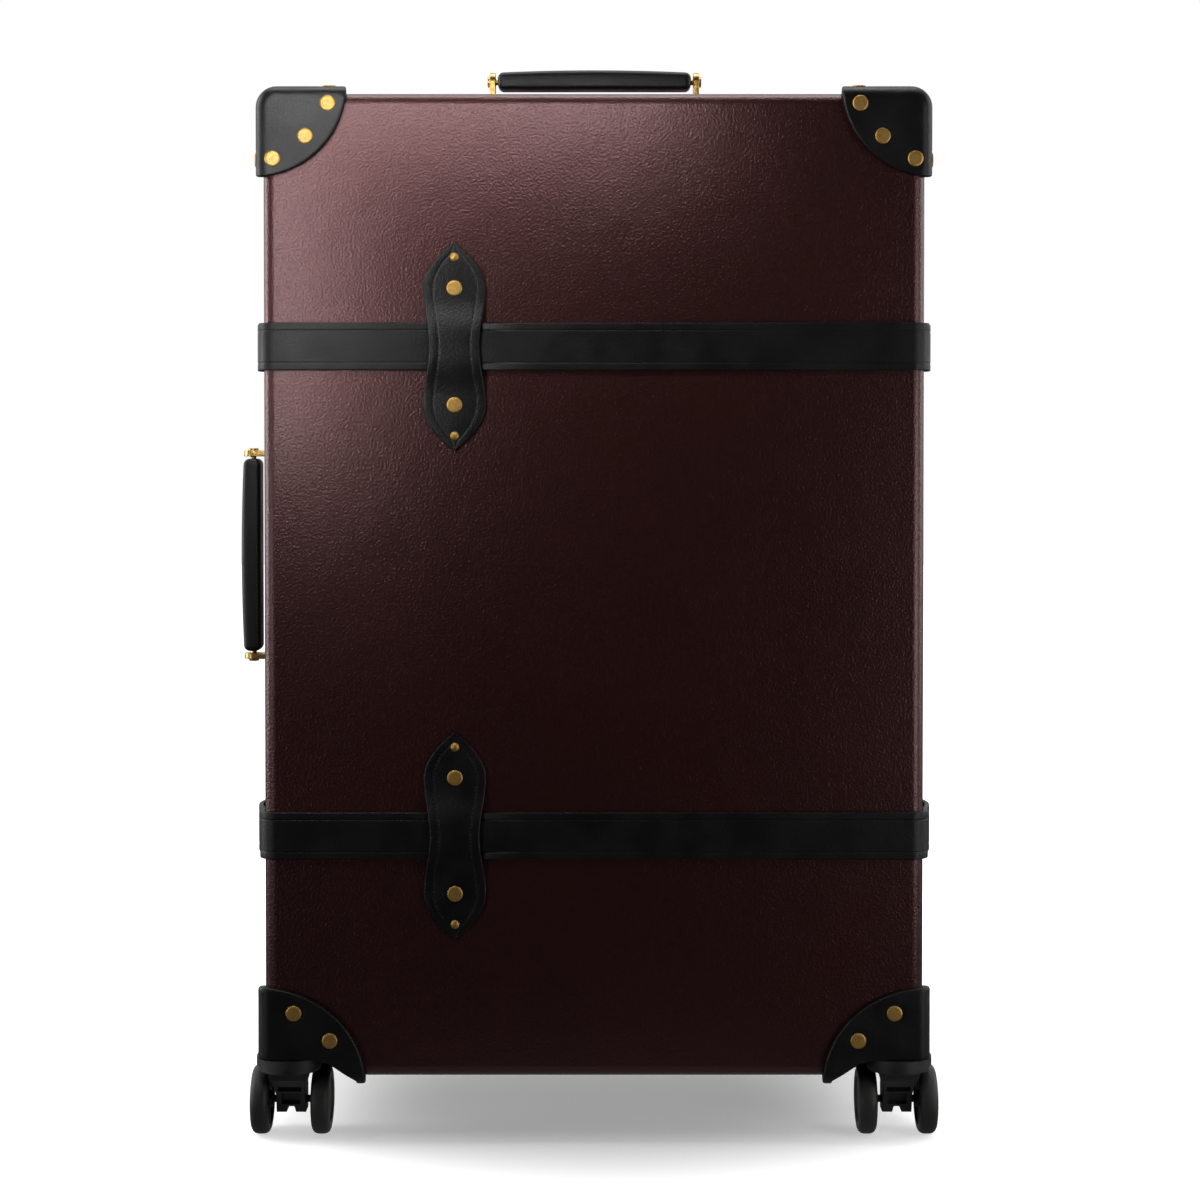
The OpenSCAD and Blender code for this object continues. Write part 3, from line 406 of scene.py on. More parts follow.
def ray_point(ray, reach):
    """A point on one of the three faces at the tip, reach away from it, as depths inside the faces."""
    turn, share = divmod(ray, rays_a_face)
    a = reach * math.cos(math.radians(90 * share / rays_a_face))
    b = reach * math.sin(math.radians(90 * share / rays_a_face))
    return [(b, 0, a), (a, b, 0), (0, a, b)][turn]


def inside_well(depths):
    """Whether a point, given by its depths inside the leather's faces, lies in the well under the corner."""
    x, y, z = depths
    height = z - leather
    away = math.hypot(x - leather - swivel_inset, y - leather - swivel_inset)
    return height < well_depth and away < well_radius(height)


def well_line():
    """How far from the tip each ray leaves the well, evened out over the rays beside it."""
    reaches = []
    for ray in range(3 * rays_a_face):
        reach = lower_reach
        while not inside_well(ray_point(ray, reach)):
            reach -= well_probe
        reaches.append(reach)
    even = 2
    return [sum(reaches[(ray + k) % len(reaches)] for k in range(-even, even + 1)) / (2 * even + 1)
            for ray in range(len(reaches))]


def leather_cap(name, sx, sy, sz, body, node):
    """The corner on the side sx, the half sy and the end sz."""
    form = bmesh.new()
    count = 3 * rays_a_face
    starts = well_line() if sz < 0 else [0.0] * count
    spots = upper_spots if sz > 0 else lower_spots
    tip_x, tip_y, tip_z = sx * side, (rear if sy > 0 else front), (top if sz > 0 else bottom)

    def point(ray, reach, height):
        depths = ray_point(ray, reach)
        outer = press_over(*depths, leather_round, leather_edge) - Vector((leather, leather, leather))
        under = [max(gathered * depth, depth - leather) for depth in depths]
        inner = press_over(*under, board_edge, board_edge)
        for a, b in spots:
            for i, j in ((0, 2), (1, 2)) if sz < 0 else ((0, 2), (1, 2), (0, 1)):
                if depths[3 - i - j] == 0:
                    away = math.hypot(depths[i] - leather - a, depths[j] - leather - b)
                    height -= dimple / leather * max(0.0, 1 - away / dimple_reach) ** 0.5 * (height > 0.5)
        place = inner.lerp(outer, height)
        return tip_x - sx * place.x, tip_y - sy * place.y, tip_z - sz * place.z

    def end_of(ray):
        turn, share = divmod(ray, rays_a_face)
        if sz > 0:
            return upper_reach
        level = [math.sin(math.radians(90 * share / rays_a_face)), 1.0,
                 math.cos(math.radians(90 * share / rays_a_face))][turn]
        return lower_reach + lower_spread * level ** 2

    rings = []
    ends = [end_of(ray) for ray in range(count)]
    if sz < 0:
        rings += [[(starts[ray] + inward, height) for ray in range(count)] for inward, height in cut_edge]
    else:
        rings += [[(tip_gap, 1.0)] * count]
    first, last = [reach for reach, height in rings[-1]], [end - cut_edge[-1][0] for end in ends]
    for step in range(1, face_steps):
        rings.append([(first[ray] + (last[ray] - first[ray]) * step / face_steps, 1.0)
                      for ray in range(count)])
    rings += [[(ends[ray] - inward, height) for ray in range(count)] for inward, height in reversed(cut_edge)]
    low = [reach for reach, height in rings[0]] if sz < 0 else [under_tip] * count
    for step in range(1, under_steps):
        rings.append([(ends[ray] + (low[ray] - ends[ray]) * step / under_steps, 0.0)
                      for ray in range(count)])
    if sz > 0:
        rings.append([(under_tip, 0.0)] * count)
    grid = [[form.verts.new(point(ray, *ring[ray])) for ray in range(count)] for ring in rings]
    bridge(form, grid + grid[:1] if sz < 0 else grid)
    if sz > 0:
        close_ends(form, grid)
    cap = as_piece(name, form, moulded_leather)
    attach(cap, body)
    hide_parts(node)


for body, sy in (("base", 1), ("lid", -1)):
    for level, sz in (("top", 1), ("bottom", -1)):
        for hand, sx in (("left", -1), ("right", 1)):
            leather_cap(f"{body}_{level}_{hand}_cap", sx, sy, sz, body, f"{body}_corner_{level}_{hand}")

# ---- Rivets ----
# Solid brass, with flat satin heads turned to a bright bevelled rim. Small domed studs pin the points of
# the keepers.

rivet_r, rivet_rise, stud_r = 6.3 * mm, 1.2 * mm, 3.6 * mm
stud_rise = 0.45 * stud_r
# Heads, as pairs of a share of the radius and a share of the rise
flat_head = [(0.0, 0.96), (0.3, 0.95), (0.6, 0.93), (0.78, 0.9), (0.83, 0.86), (0.93, 0.62), (0.98, 0.4),
             (1.0, 0.2), (1.0, -0.25)]
domed_head = [(0.0, 1.0), (0.25, 0.95), (0.5, 0.79), (0.72, 0.53), (0.88, 0.26), (0.97, 0.07), (1.0, -0.1)]
upper_z, lower_z = bottom + 587.5 * mm, bottom + 195.5 * mm
keeper_x, keeper_half_length, keeper_thick = -111.5 * mm, 83.5 * mm, 2.6 * mm
keeper_rivet, keeper_stud = 46.6 * mm, 71.3 * mm


def brass_finish(name, tone, roughness, scratch_depth):
    """Lacquered brass, a little mottled, with fine scratches."""
    finish = Finish(name, {"Metallic": 1.0, "Coat Weight": 0.15, "Coat Roughness": 0.15})
    mottle = finish.noise(350, 3.0, 0.6)
    scratches = finish.noise(1.0, 2.0, 0.6, finish.stretched(1400, 5200, 1400), 0.4)
    dull = [round(level * share) for level, share in zip(tone, (0.9, 0.87, 0.8))]
    shade = finish.mix(finish.between(mottle, 0.35, 0.7), paint(*tone), paint(*dull))
    finish.feed({"Base Color": shade, "Normal": finish.raise_by(scratches, scratch_depth),
                 "Roughness": finish.between(mottle, 0.3, 0.7, roughness, roughness + 0.1)})
    return finish.material


rivet_brass = brass_finish("rivet_brass", (186, 150, 84), 0.52, 0.03 * mm)


def turn(form, outline, place, steps=40):
    """Adds a turned shape: outline holds radius and height pairs from the middle outwards."""
    rings = []
    for radius, height in outline:
        if radius == 0:
            rings.append([form.verts.new(place @ Vector((0, 0, height)))])
        else:
            angles = [math.tau * i / steps for i in range(steps)]
            rings.append([form.verts.new(place @ Vector((radius * math.cos(a), radius * math.sin(a), height)))
                          for a in angles])
    for one, two in zip(rings, rings[1:]):
        for i in range(steps):
            j = (i + 1) % steps
            corners = [one[i % len(one)], one[j % len(one)], two[j % len(two)], two[i % len(two)]]
            form.faces.new(list(dict.fromkeys(corners)))
    if len(rings[-1]) > 1:
        form.faces.new(rings[-1])


def head(form, outline, radius, rise, place):
    """Adds a turned head whose outline is given in shares of its radius and rise."""
    turn(form, [(r * radius, h * rise) for r, h in outline], place)


def faced(origin, outward):
    """A place at origin whose Z axis points outward."""
    return Matrix.Translation(origin) @ Vector(outward).to_track_quat("Z", "Y").to_matrix().to_4x4()


def rivets(name, sy, body, node):
    """All the rivets and studs of one half; sy is 1 for the rear half and -1 for the front one."""
    form = bmesh.new()
    y = rear if sy > 0 else front
    for sx in (-1, 1):
        for sz, spots in ((1, upper_spots), (-1, lower_spots)):
            z = top if sz > 0 else bottom
            for a, b in spots:
                sits = [((sx * (side - a), y + sy * leather, z - sz * b), (0, sy, 0)),
                        ((sx * (side + leather), y - sy * a, z - sz * b), (sx, 0, 0))]
                if sz > 0:
                    sits.append(((sx * (side - a), y - sy * b, z + leather), (0, 0, 1)))
                for origin, outward in sits:
                    head(form, flat_head, rivet_r, rivet_rise, faced(origin, outward))
    level = y + sy * keeper_thick
    for z in (upper_z, lower_z):
        for s in (-1, 1):
            for outline, radius, rise, along in ((flat_head, rivet_r, rivet_rise, keeper_rivet),
                                                 (domed_head, stud_r, stud_rise, keeper_stud)):
                head(form, outline, radius, rise, faced((keeper_x, level, z + s * along), (0, sy, 0)))
    piece = as_piece(name, form, rivet_brass)
    even_shading(piece)
    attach(piece, body)
    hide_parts(node)


rivets("rear_rivets", 1, "base", "base_rivets")
rivets("front_rivets", -1, "lid", "lid_rivets")

# ---- Straps ----
# Two straps of 4 mm bridle leather go right round the case. Their edges are rounded and waxed, and a hot
# iron has drawn a crease along each side. The pointed ends pass through buckles on the left.

strap_half, strap_thick, lay = 19 * mm, 4 * mm, 0.3 * mm
strap_bow = 6 * mm
crease_in, crease_deep = 6.2 * mm, 0.55 * mm
lid_run = parting - front - board_edge - 20 * mm
base_run = rear - parting - board_edge - 20 * mm
heel_y = parting + 76 * mm
heel_bar, eye = 1.8 * mm, 4 * mm
heel_x = -(side + lay + eye)
tongue_off = 2 * eye + 0.3 * mm
ramp = (2 * mm, 40 * mm)
tongue_half, tongue_tip, point_length = 18.3 * mm, parting + 152 * mm, 38 * mm
loop_low, loop_high = heel_y + 24 * mm, heel_y + 36 * mm
slot_low, slot_high, half_slot = heel_y - 20.4 * mm, heel_y + 4 * mm, 2.3 * mm
hole_places, hole_r, hole_sides = (heel_y + 16 * mm, heel_y + 48 * mm), 2.2 * mm, 24
prong_gap = 4.4 * mm

strap_leather = leather_finish("strap_leather", (5, 5, 5), 650, 0.22 * mm, 0.4)


def bow(run, distance):
    """How far a strap stands off the side at a distance into a bowed run."""
    return strap_bow * (1 - math.cos(math.tau * distance / run)) / 2 if 0 <= distance <= run else 0


def turned(x, y, radius, start, end, steps=12):
    """Points of an arc about x, y between two angles in degrees."""
    angles = [math.radians(start + (end - start) * i / steps) for i in range(steps + 1)]
    return [(x + radius * math.cos(a), y + radius * math.sin(a)) for a in angles]


def section(half, thick):
    """A strap's cross section, as pairs of a place across it and a height above its underside."""
    crease = max(half - crease_in, 0.45 * half)
    deep = crease_deep * min(1, half / strap_half)
    e = min(0.9 * mm, 0.3 * half)
    upper = [(half - 0.75 * e, 0), (half - 0.2 * e, 0.3 * e), (half, e), (half, thick - e),
             (half - 0.25 * e, thick - 0.3 * e), (half - e, thick - 0.02 * mm),
             (crease + 1.4 * mm * half / strap_half, thick),
             (crease + 0.5 * mm * half / strap_half, thick - 0.25 * deep), (crease, thick - deep),
             (crease - 0.35 * mm * half / strap_half, thick - 0.3 * deep),
             (crease - 0.8 * mm * half / strap_half, thick)]
    return upper + [(-across, height) for across, height in reversed(upper)]


def strap_band(form, z, inner, outer, halves):
    """Adds a strap between an inner and an outer line of points, with its half width at each."""
    rings = []
    for (x0, y0), (x1, y1), half in zip(inner, outer, halves):
        low, high = Vector((x0, y0, z)), Vector((x1, y1, z))
        up = (high - low).normalized()
        rings.append([form.verts.new(low + up * height + Vector((0, 0, across)))
                      for across, height in section(half, (high - low).length)])
    bridge(form, rings)
    close_ends(form, rings)


def front_line(height, hand):
    """From the middle of the keepers along the front and back along the side; hand is 1 to the right."""
    radius = board_edge + lay + height
    start = (keeper_x + hand * 0.1 * mm, front - lay - height)
    straight = [(start[0] + (hand * (side - board_edge) - start[0]) * i / 6, start[1]) for i in range(6)]
    bend = turned(hand * (side - board_edge), front + board_edge, radius, -90, -90 + 90 * hand)
    steps = 16
    run = parting - front - board_edge if hand > 0 else lid_run + 10 * mm
    flank = [(hand * (side + lay + height + bow(lid_run, run * i / steps)),
              front + board_edge + run * i / steps) for i in range(1, steps + 1)]
    return straight + bend + flank


def tongue_line(height):
    """From the lid's left side through the buckle to the pointed tip."""
    rise = [(-(side + lay + height + tongue_off * (1 - math.cos(math.pi * i / 8)) / 2),
             parting + ramp[0] + (ramp[1] - ramp[0]) * i / 8) for i in range(9)]
    rest = [(-(side + lay + height + tongue_off), y) for y in tongue_stations]
    return rise + rest


def tip_half(y):
    """Half the tongue's width at y."""
    from_tip = tongue_tip - y
    if from_tip >= point_length:
        return tongue_half
    return tongue_half * math.sqrt(max(0.0, 1 - (1 - from_tip / point_length) ** 2)) + 0.3 * mm


tongue_stations = [heel_y + step * 8 * mm for step in range(-3, 5)]
tongue_stations += [tongue_tip - point_length * share
                    for share in (1, 0.85, 0.7, 0.55, 0.42, 0.3, 0.2, 0.12, 0.06, 0.025, 0.005)]


def front_strap(z, level):
    """The lid's part of a strap: from the front keeper to the punched tongue in the buckle."""
    form = bmesh.new()
    lines = [front_line(height, -1) + tongue_line(height) for height in (0, strap_thick)]
    halves = [strap_half if y < parting + ramp[0] - mm else min(tip_half(y), tongue_half)
              for x, y in lines[0]]
    strap_band(form, z, *lines, halves)
    piece = as_piece(f"front_strap_{level}", form, strap_leather)
    holes = bmesh.new()
    x = -(side + lay + tongue_off + strap_thick / 2)
    slot_middle = Matrix.Translation((x, (slot_low + slot_high) / 2, z))
    slot_place = slot_middle @ Matrix.Rotation(math.radians(90), 4, "Y")
    half_length = (slot_high - slot_low) / 2 - half_slot
    outline = [(a, b + (half_length if b > 0 else -half_length))
               for a, b in turned(0, 0, half_slot, 0, 360, hole_sides)[:-1]]
    block(holes, *([slot_place @ Vector((a, b, depth)) for a, b in outline]
                   for depth in (-strap_thick, strap_thick)))
    for y in hole_places:
        bmesh.ops.create_cone(holes, cap_ends=True, segments=hole_sides, radius1=hole_r, radius2=hole_r,
                              depth=3 * strap_thick, matrix=faced((x, y, z), (-1, 0, 0)))
    cut_away(piece, as_piece("holes", holes, strap_leather))
    even_shading(piece)
    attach(piece, "lid")
    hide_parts("lid_straps")


def rear_strap(z, level):
    """From the front keeper round the hinge side and the rear, and folded round the buckle's heel bar."""
    form = bmesh.new()
    lines = []
    for height in (0, strap_thick):
        steps = 18
        run = rear - board_edge - parting
        flank = [(side + lay + height + bow(base_run, run - run * i / steps), parting + run * i / steps)
                 for i in range(1, steps)]
        radius = board_edge + lay + height
        bends = turned(side - board_edge, rear - board_edge, radius, 0, 90)
        bends += turned(board_edge - side, rear - board_edge, radius, 90, 180)
        last = [(-(side + lay + height), rear - board_edge + (heel_y + 9 * mm - rear + board_edge) * i / 8)
                for i in range(1, 9)]
        lines.append(front_line(height, 1) + flank + bends + last)
    lines[0] += turned(heel_x, heel_y, eye, 0, -180) + [(heel_x - eye, heel_y + 4 * mm),
                                                        (heel_x - eye + 0.8 * mm, heel_y + 8 * mm),
                                                        (heel_x - 1.2 * mm, heel_y + 12 * mm)]
    lines[1] += turned(heel_x, heel_y, heel_bar + 0.1 * mm, 0, -180) + [(heel_x - heel_bar, heel_y + 4 * mm),
                                                                        (heel_x - mm, heel_y + 8 * mm),
                                                                        (heel_x - 0.2 * mm, heel_y + 12 * mm)]
    strap_band(form, z, *lines, [strap_half] * len(lines[0]))
    piece = as_piece(f"rear_strap_{level}", form, strap_leather)
    gap = bmesh.new()
    opening = (4 * eye, 2 * eye + 7 * mm, 2 * prong_gap, 1)
    box = Matrix.Translation((heel_x - eye, heel_y - mm, z)) @ Matrix.Diagonal(opening)
    bmesh.ops.create_cube(gap, size=1, matrix=box)
    cut_away(piece, as_piece("gap", gap, strap_leather))
    even_shading(piece)
    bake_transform(piece)
    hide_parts("base_straps")


def strap_loop(z, level):
    """The fixed loop behind the buckle that holds the strap's end down."""
    form = bmesh.new()
    inner_x, inner_z = side + lay + tongue_off + strap_thick + 0.3 * mm, strap_half - 0.2 * mm
    thick, start_x = 2 * mm, side + lay
    outline = []
    for grow in (0, thick):
        r = 2 * mm + grow
        x, h = inner_x + grow, inner_z + grow
        arc = [math.radians(90 * i / 6) for i in range(7)]
        top_side = [(start_x, h), *[(x - r + r * math.sin(a), h - r + r * math.cos(a)) for a in arc]]
        outline.append(top_side + [(px, -pz) for px, pz in reversed(top_side)])
    e = 0.5 * mm
    across = [(loop_low + e, 0), (loop_high - e, 0), (loop_high, 0.25), (loop_high, 0.75), (loop_high - e, 1),
              ((loop_low + loop_high) / 2, 1.08), (loop_low + e, 1), (loop_low, 0.75), (loop_low, 0.25)]
    rings = []
    for (x0, z0), (x1, z1) in zip(*outline):
        rings.append([form.verts.new((-(x0 + (x1 - x0) * h), y, z + z0 + (z1 - z0) * h))
                      for y, h in across])
    bridge(form, rings)
    close_ends(form, rings)
    piece = as_piece(f"strap_loop_{level}", form, strap_leather)
    even_shading(piece)
    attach(piece, "base")


for z, level in ((upper_z, "upper"), (lower_z, "lower")):
    front_strap(z, level)
    rear_strap(z, level)
    strap_loop(z, level)

# ---- Keepers ----
# Leather tabs cut to two pointed lobes, laid over each strap at the front and the rear. They are pressed
# to the strap while damp, sewn blind near their edges and held by rivets and studs.

waist_half, lobe_half = 20 * mm, 25 * mm
keeper_over, keeper_flat, keeper_drop = strap_thick + lay + 1.2 * mm, 8 * mm, 40 * mm
stitch_inset, stitch_pitch, stitch_length, stitch_r = 7.6 * mm, 2.9 * mm, 2.0 * mm, 0.42 * mm
stud_room = 5 * mm
keeper_leather = leather_finish("keeper_leather", (6, 6, 6), 650, 0.3 * mm, 0.36)
thread_finish = Finish("waxed_thread", {"Roughness": 0.6, "Specular IOR Level": 0.4})
twist = thread_finish.wave(900)
thread_finish.feed({"Base Color": thread_finish.mix(twist, paint(14, 13, 13), paint(30, 28, 27)),
                    "Normal": thread_finish.raise_by(twist, 0.1 * mm)})
black_thread = thread_finish.material


def keeper_half(along):
    """Half a keeper's width at a distance from its middle."""
    if along < keeper_rivet:
        return waist_half + (lobe_half - waist_half) * (1 - math.cos(math.pi * along / keeper_rivet)) / 2
    return lobe_half * (1 - ((along - keeper_rivet) / (keeper_half_length - keeper_rivet)) ** 1.9)


def keeper_rise(along):
    """How high a keeper's underside is over the strap and beside it."""
    fall = min(1.0, max(0.0, (abs(along) - keeper_flat) / (keeper_drop - keeper_flat)))
    return keeper_over * (1 + math.cos(math.pi * fall)) / 2


def seam_lean(half):
    """How fully the seam's groove is pressed in where a keeper is half wide, less towards its points."""
    return min(1.0, half / (1.3 * stitch_inset))


def keeper(name, sy, z, body, node):
    """A keeper with its pressed groove, and the seam of stitches in it."""
    form = bmesh.new()
    y = rear if sy > 0 else front
    steps = 120
    rim = [(0.0, 0.0), (0.0, 0.62), (0.25 * mm, 0.84), (0.7 * mm, 0.95), (1.4 * mm, 1.0)]
    dip = [(5.6 * mm, 1.0), (stitch_inset - 0.9 * mm, 0.96), (stitch_inset, 0.84),
           (stitch_inset + 0.9 * mm, 0.96), (stitch_inset + 2 * mm, 1.0)]

    def place(along, across, height):
        return keeper_x + across, y + sy * (keeper_rise(along) + height), z + along

    rows = []
    for step in range(1, steps):
        along = -keeper_half_length * math.cos(math.pi * step / steps)
        half = keeper_half(abs(along))
        lean = seam_lean(half)
        flank = [(half - inset * min(1, half / (6 * mm)), height * keeper_thick) for inset, height in rim]
        flank += [(half - inset * lean, keeper_thick * (1 - (1 - height) * lean)) for inset, height in dip]
        ring = flank + [(0.0, keeper_thick)] + [(-across, height) for across, height in reversed(flank)]
        rows.append([form.verts.new(place(along, across, height)) for across, height in ring])
    count = len(rows[0])
    bridge(form, rows)
    for row, end in ((rows[0], -1), (rows[-1], 1)):
        tip = [form.verts.new(place(end * keeper_half_length, 0, keeper_thick * level)) for level in (0, 0.7)]
        for i in range(count - 1):
            form.faces.new((row[i], row[i + 1], tip[1]))
        form.faces.new((row[-1], row[0], tip[0]))
        form.faces.new((row[0], tip[1], tip[0]))
        form.faces.new((row[-1], tip[0], tip[1]))
    piece = as_piece(name, form, keeper_leather)
    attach(piece, body)
    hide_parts(node)

    def spot(at, hand):
        half = keeper_half(abs(at))
        lean = seam_lean(half)
        return Vector(place(at, hand * (half - stitch_inset * lean),
                            keeper_thick * (1 - 0.16 * lean) + 0.1 * mm))

    seam = bmesh.new()
    for hand in (-1, 1):
        along = -keeper_stud + stud_room
        while along < keeper_stud - stud_room:
            stitch(seam, spot(along, hand), spot(along + stitch_length, hand), stitch_r)
            along += stitch_pitch
    thread = as_piece(name + "_stitching", seam, black_thread)
    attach(thread, body)


def stitch(form, start, end, radius):
    """Adds one stitch: a short bead of thread with rounded ends."""
    run = end - start
    place = faced(start, run)
    length = run.length
    outline = [(0, 0), (0.6 * radius, 0.15 * radius), (radius, radius), (radius, length - radius),
               (0.6 * radius, length - 0.15 * radius), (0, length)]
    turn(form, outline, place, 8)


for z, level in ((upper_z, "upper"), (lower_z, "lower")):
    keeper(f"front_keeper_{level}", -1, z, "lid", "lid_keepers")
    keeper(f"rear_keeper_{level}", 1, z, "base", "base_keepers")

# ---- Carrying handles ----
# Each grip is a stuffed core wrapped in black leather that is drawn tight and sewn along its lower edges.
# It swings on steel pins between two cast brass lugs, screwed to the boards through their feet.

handle_y = parting + 50.5 * mm
side_handle_z = bottom + 412.5 * mm
pin_height, grip_half, grip_wide, grip_thick, grip_crown = 30 * mm, 83 * mm, 28 * mm, 15 * mm, 2 * mm
grip_round, seam_height = 5 * mm, 2.6 * mm
seam_end, seam_pitch, seam_stitch, seam_r = 7 * mm, 3.3 * mm, 2.2 * mm, 0.45 * mm
lug_inner, lug_thick, foot_length, foot_thick = 85 * mm, 5 * mm, 20 * mm, 2 * mm
screw_head = [(0, 0.2), (0.16, 0.2), (0.22, 0.9), (0.5, 0.86), (0.85, 0.6), (1.0, 0.15), (1.0, -0.2)]
screw_r, screw_rise, screw_off = 3.1 * mm, 0.9 * mm, 6.5 * mm
top_place = Matrix.Translation((0, handle_y, top))
side_place = Matrix.Translation((-side, handle_y, side_handle_z)) @ Matrix.Rotation(math.radians(-90), 4, "Y")

grip_leather = leather_finish("grip_leather", (9, 8, 8), 700, 0.08 * mm, 0.36)
hardware_brass = brass_finish("hardware_brass", (190, 158, 96), 0.28, 0.04 * mm)


def dress(name, node, material, body, width=0.4 * mm, blunt=35, pockets=None):
    """A piece with a CAD node's own shape, less any pockets, whose hard edges are eased by width."""
    form = bmesh.new()
    form.from_mesh(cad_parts[node].data)
    bmesh.ops.remove_doubles(form, verts=form.verts, dist=0.01 * mm)
    bmesh.ops.dissolve_limit(form, angle_limit=math.radians(0.5), verts=form.verts, edges=form.edges)
    piece = as_piece(name, form, material)
    if pockets:
        cut_away(piece, as_piece(name + "_pockets", pockets, material))
    eased = piece.modifiers.new("eased edges", "BEVEL")
    eased.width, eased.segments = width, 2
    eased.limit_method, eased.angle_limit = "ANGLE", math.radians(blunt)
    even_shading(piece)
    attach(piece, body)
    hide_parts(node)


def grip_ring(along, steps=48):
    """The grip's section at a place along it, as points across and above its pins."""
    end = grip_half - abs(along)
    pull = grip_round - math.sqrt(grip_round ** 2 - max(0.0, grip_round - end) ** 2)
    share = 1 - (along / grip_half) ** 2
    half_w = grip_wide / 2 - pull
    low, high = -grip_thick / 2 + pull, grip_thick / 2 - pull + grip_crown * share
    middle, half_h = (low + high) / 2, (high - low) / 2
    points = []
    for i in range(steps):
        angle = math.tau * i / steps
        c, s = math.cos(angle), math.sin(angle)
        power = 0.5 if s > 0 else 0.34
        points.append((half_w * math.copysign(abs(c) ** power, c),
                       middle + half_h * math.copysign(abs(s) ** power, s)))
    return points


def grip(name, place, body, node):
    """A stuffed grip, and the seams along its two lower edges."""
    form = bmesh.new()
    stations = [grip_half * math.sin(math.radians(90) * k / 40) for k in range(-40, 41)]
    rings = [[form.verts.new(place @ Vector((along, across, pin_height + up)))
              for across, up in grip_ring(along)] for along in stations[1:-1]]
    bridge(form, rings)
    close_ends(form, rings)
    piece = as_piece(name, form, grip_leather)
    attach(piece, body)
    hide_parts(node)
    seam = bmesh.new()
    z = pin_height - grip_thick / 2 + seam_height
    along = -grip_half + seam_end
    while along < grip_half - seam_end:
        for hand in (-1, 1):
            y = hand * (grip_wide / 2 - 0.35 * mm)
            stitch(seam, place @ Vector((along, y, z)), place @ Vector((along + seam_stitch, y, z)), seam_r)
        along += seam_pitch
    thread = as_piece(name + "_stitching", seam, black_thread)
    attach(thread, body)


def lug_screws(name, place):
    """Countersunk screw heads in the feet of the lugs."""
    form = bmesh.new()
    for end in (-1, 1):
        for across in (-screw_off, screw_off):
            origin = place @ Vector((end * (lug_inner + lug_thick + foot_length / 2), across, foot_thick))
            turned_place = Matrix.Translation(origin) @ place.to_3x3().to_4x4()
            head(form, screw_head, screw_r, screw_rise, turned_place)
    piece = as_piece(name, form, hardware_brass)
    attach(piece, "base")


grip("top_grip", top_place, "top_handle", "top_handle_grip")
grip("side_grip", side_place, "side_handle", "side_handle_grip")
dress("top_lugs", "top_handle_lugs", hardware_brass, "base", 0.6 * mm)
dress("side_lugs", "side_handle_lugs", hardware_brass, "base", 0.6 * mm)
lug_screws("top_lug_screws", top_place)
lug_screws("side_lug_screws", side_place)

# ---- Hinges, locks and buckles ----
# Hinges of rolled brass plate stand along the right side. On the left are two brass hasp locks with sliding
# buttons, and the straps' cast brass buckles.

for half in ("base", "lid"):
    dress(f"{half}_hinge_leaves", f"hinge_leaves_{half}", hardware_brass, half, 0.3 * mm)
dress("hinge_pin_rods", "hinge_pins", hardware_brass, "base", 0.3 * mm)
dress("lock_housings", "lock_bodies", hardware_brass, "base", 0.7 * mm)
dress("lock_hooks", "lock_catches", hardware_brass, "lid", 0.4 * mm)
for level in ("upper", "lower"):
    dress(f"hasp_{level}_plate", f"lock_hasp_{level}", hardware_brass, f"hasp_{level}", 0.5 * mm)
    button = f"lock_button_{level}"
    dress(f"{button}_slider", button, rivet_brass, button, 0.6 * mm)
    dress(f"buckle_{level}_frame", f"buckle_frame_{level}", hardware_brass, f"buckle_{level}", 0.8 * mm)
    dress(f"buckle_{level}_prong", f"buckle_prong_{level}", hardware_brass, f"prong_{level}", 0.5 * mm)

# ---- Pull handle ----
# Two telescoping pairs of drawn steel tube run down behind the lining and end in a moulded grip, which
# sinks into a cup in the top of the case.


def plastic_finish(name, tone, roughness):
    """Spark-eroded black plastic, rubbed a little where it is touched."""
    finish = Finish(name, {"Specular IOR Level": 0.45})
    spark = finish.noise(2600, 2.0, 0.6)
    rubbed = finish.noise(45, 3.0, 0.6)
    paler = [level + 7 for level in tone]
    finish.feed({"Base Color": finish.mix(finish.between(rubbed, 0.35, 0.75), paint(*tone), paint(*paler)),
                 "Roughness": finish.between(rubbed, 0.3, 0.7, roughness, roughness + 0.12),
                 "Normal": finish.raise_by(spark, 0.04 * mm)})
    return finish.material


moulded_nylon = plastic_finish("moulded_nylon", (26, 25, 24), 0.42)
wheel_rubber = plastic_finish("wheel_rubber", (38, 36, 35), 0.5)


def steel_finish(name, tone, along):
    """Metal with fine lines drawn along one axis."""
    finish = Finish(name, {"Metallic": 1.0})
    lines = finish.noise(1.0, place=finish.stretched(*along))
    mottle = finish.noise(40, 3.0)
    paler = [min(255, level + 16) for level in tone]
    finish.feed({"Base Color": finish.mix(lines, paint(*tone), paint(*paler)),
                 "Roughness": finish.between(mottle, 0.3, 0.7, 0.34, 0.4),
                 "Normal": finish.raise_by(lines, 0.002 * mm)})
    return finish.material


tube_steel = steel_finish("tube_steel", (176, 178, 180), (3000, 3000, 20))
rim_aluminium = steel_finish("rim_aluminium", (170, 171, 170), (60, 4000, 60))


def cover(node, material):
    """Gives its material to a CAD node that is seen with its own shape."""
    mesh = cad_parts[node].data
    mesh.materials.clear()
    mesh.materials.append(material)


for stage in ("outer", "middle", "inner"):
    cover(f"trolley_{stage}_tubes", tube_steel)
for half in ("base", "lid"):
    cover(f"{half}_frame", rim_aluminium)
dress("pull_cup", "trolley_cup", moulded_nylon, "base", 0.6 * mm)
dress("pull_grip", "trolley_grip", moulded_nylon, "pull_inner", 1.6 * mm, 50)
dress("pull_release", "trolley_button", rivet_brass, "pull_button", 0.8 * mm)

# ---- Casters ----
# Twin-wheel swivel casters in moulded nylon. Each fork turns on a pin in the collar of its well, and
# each wheel is a rubber tyre moulded round a spoked hub.

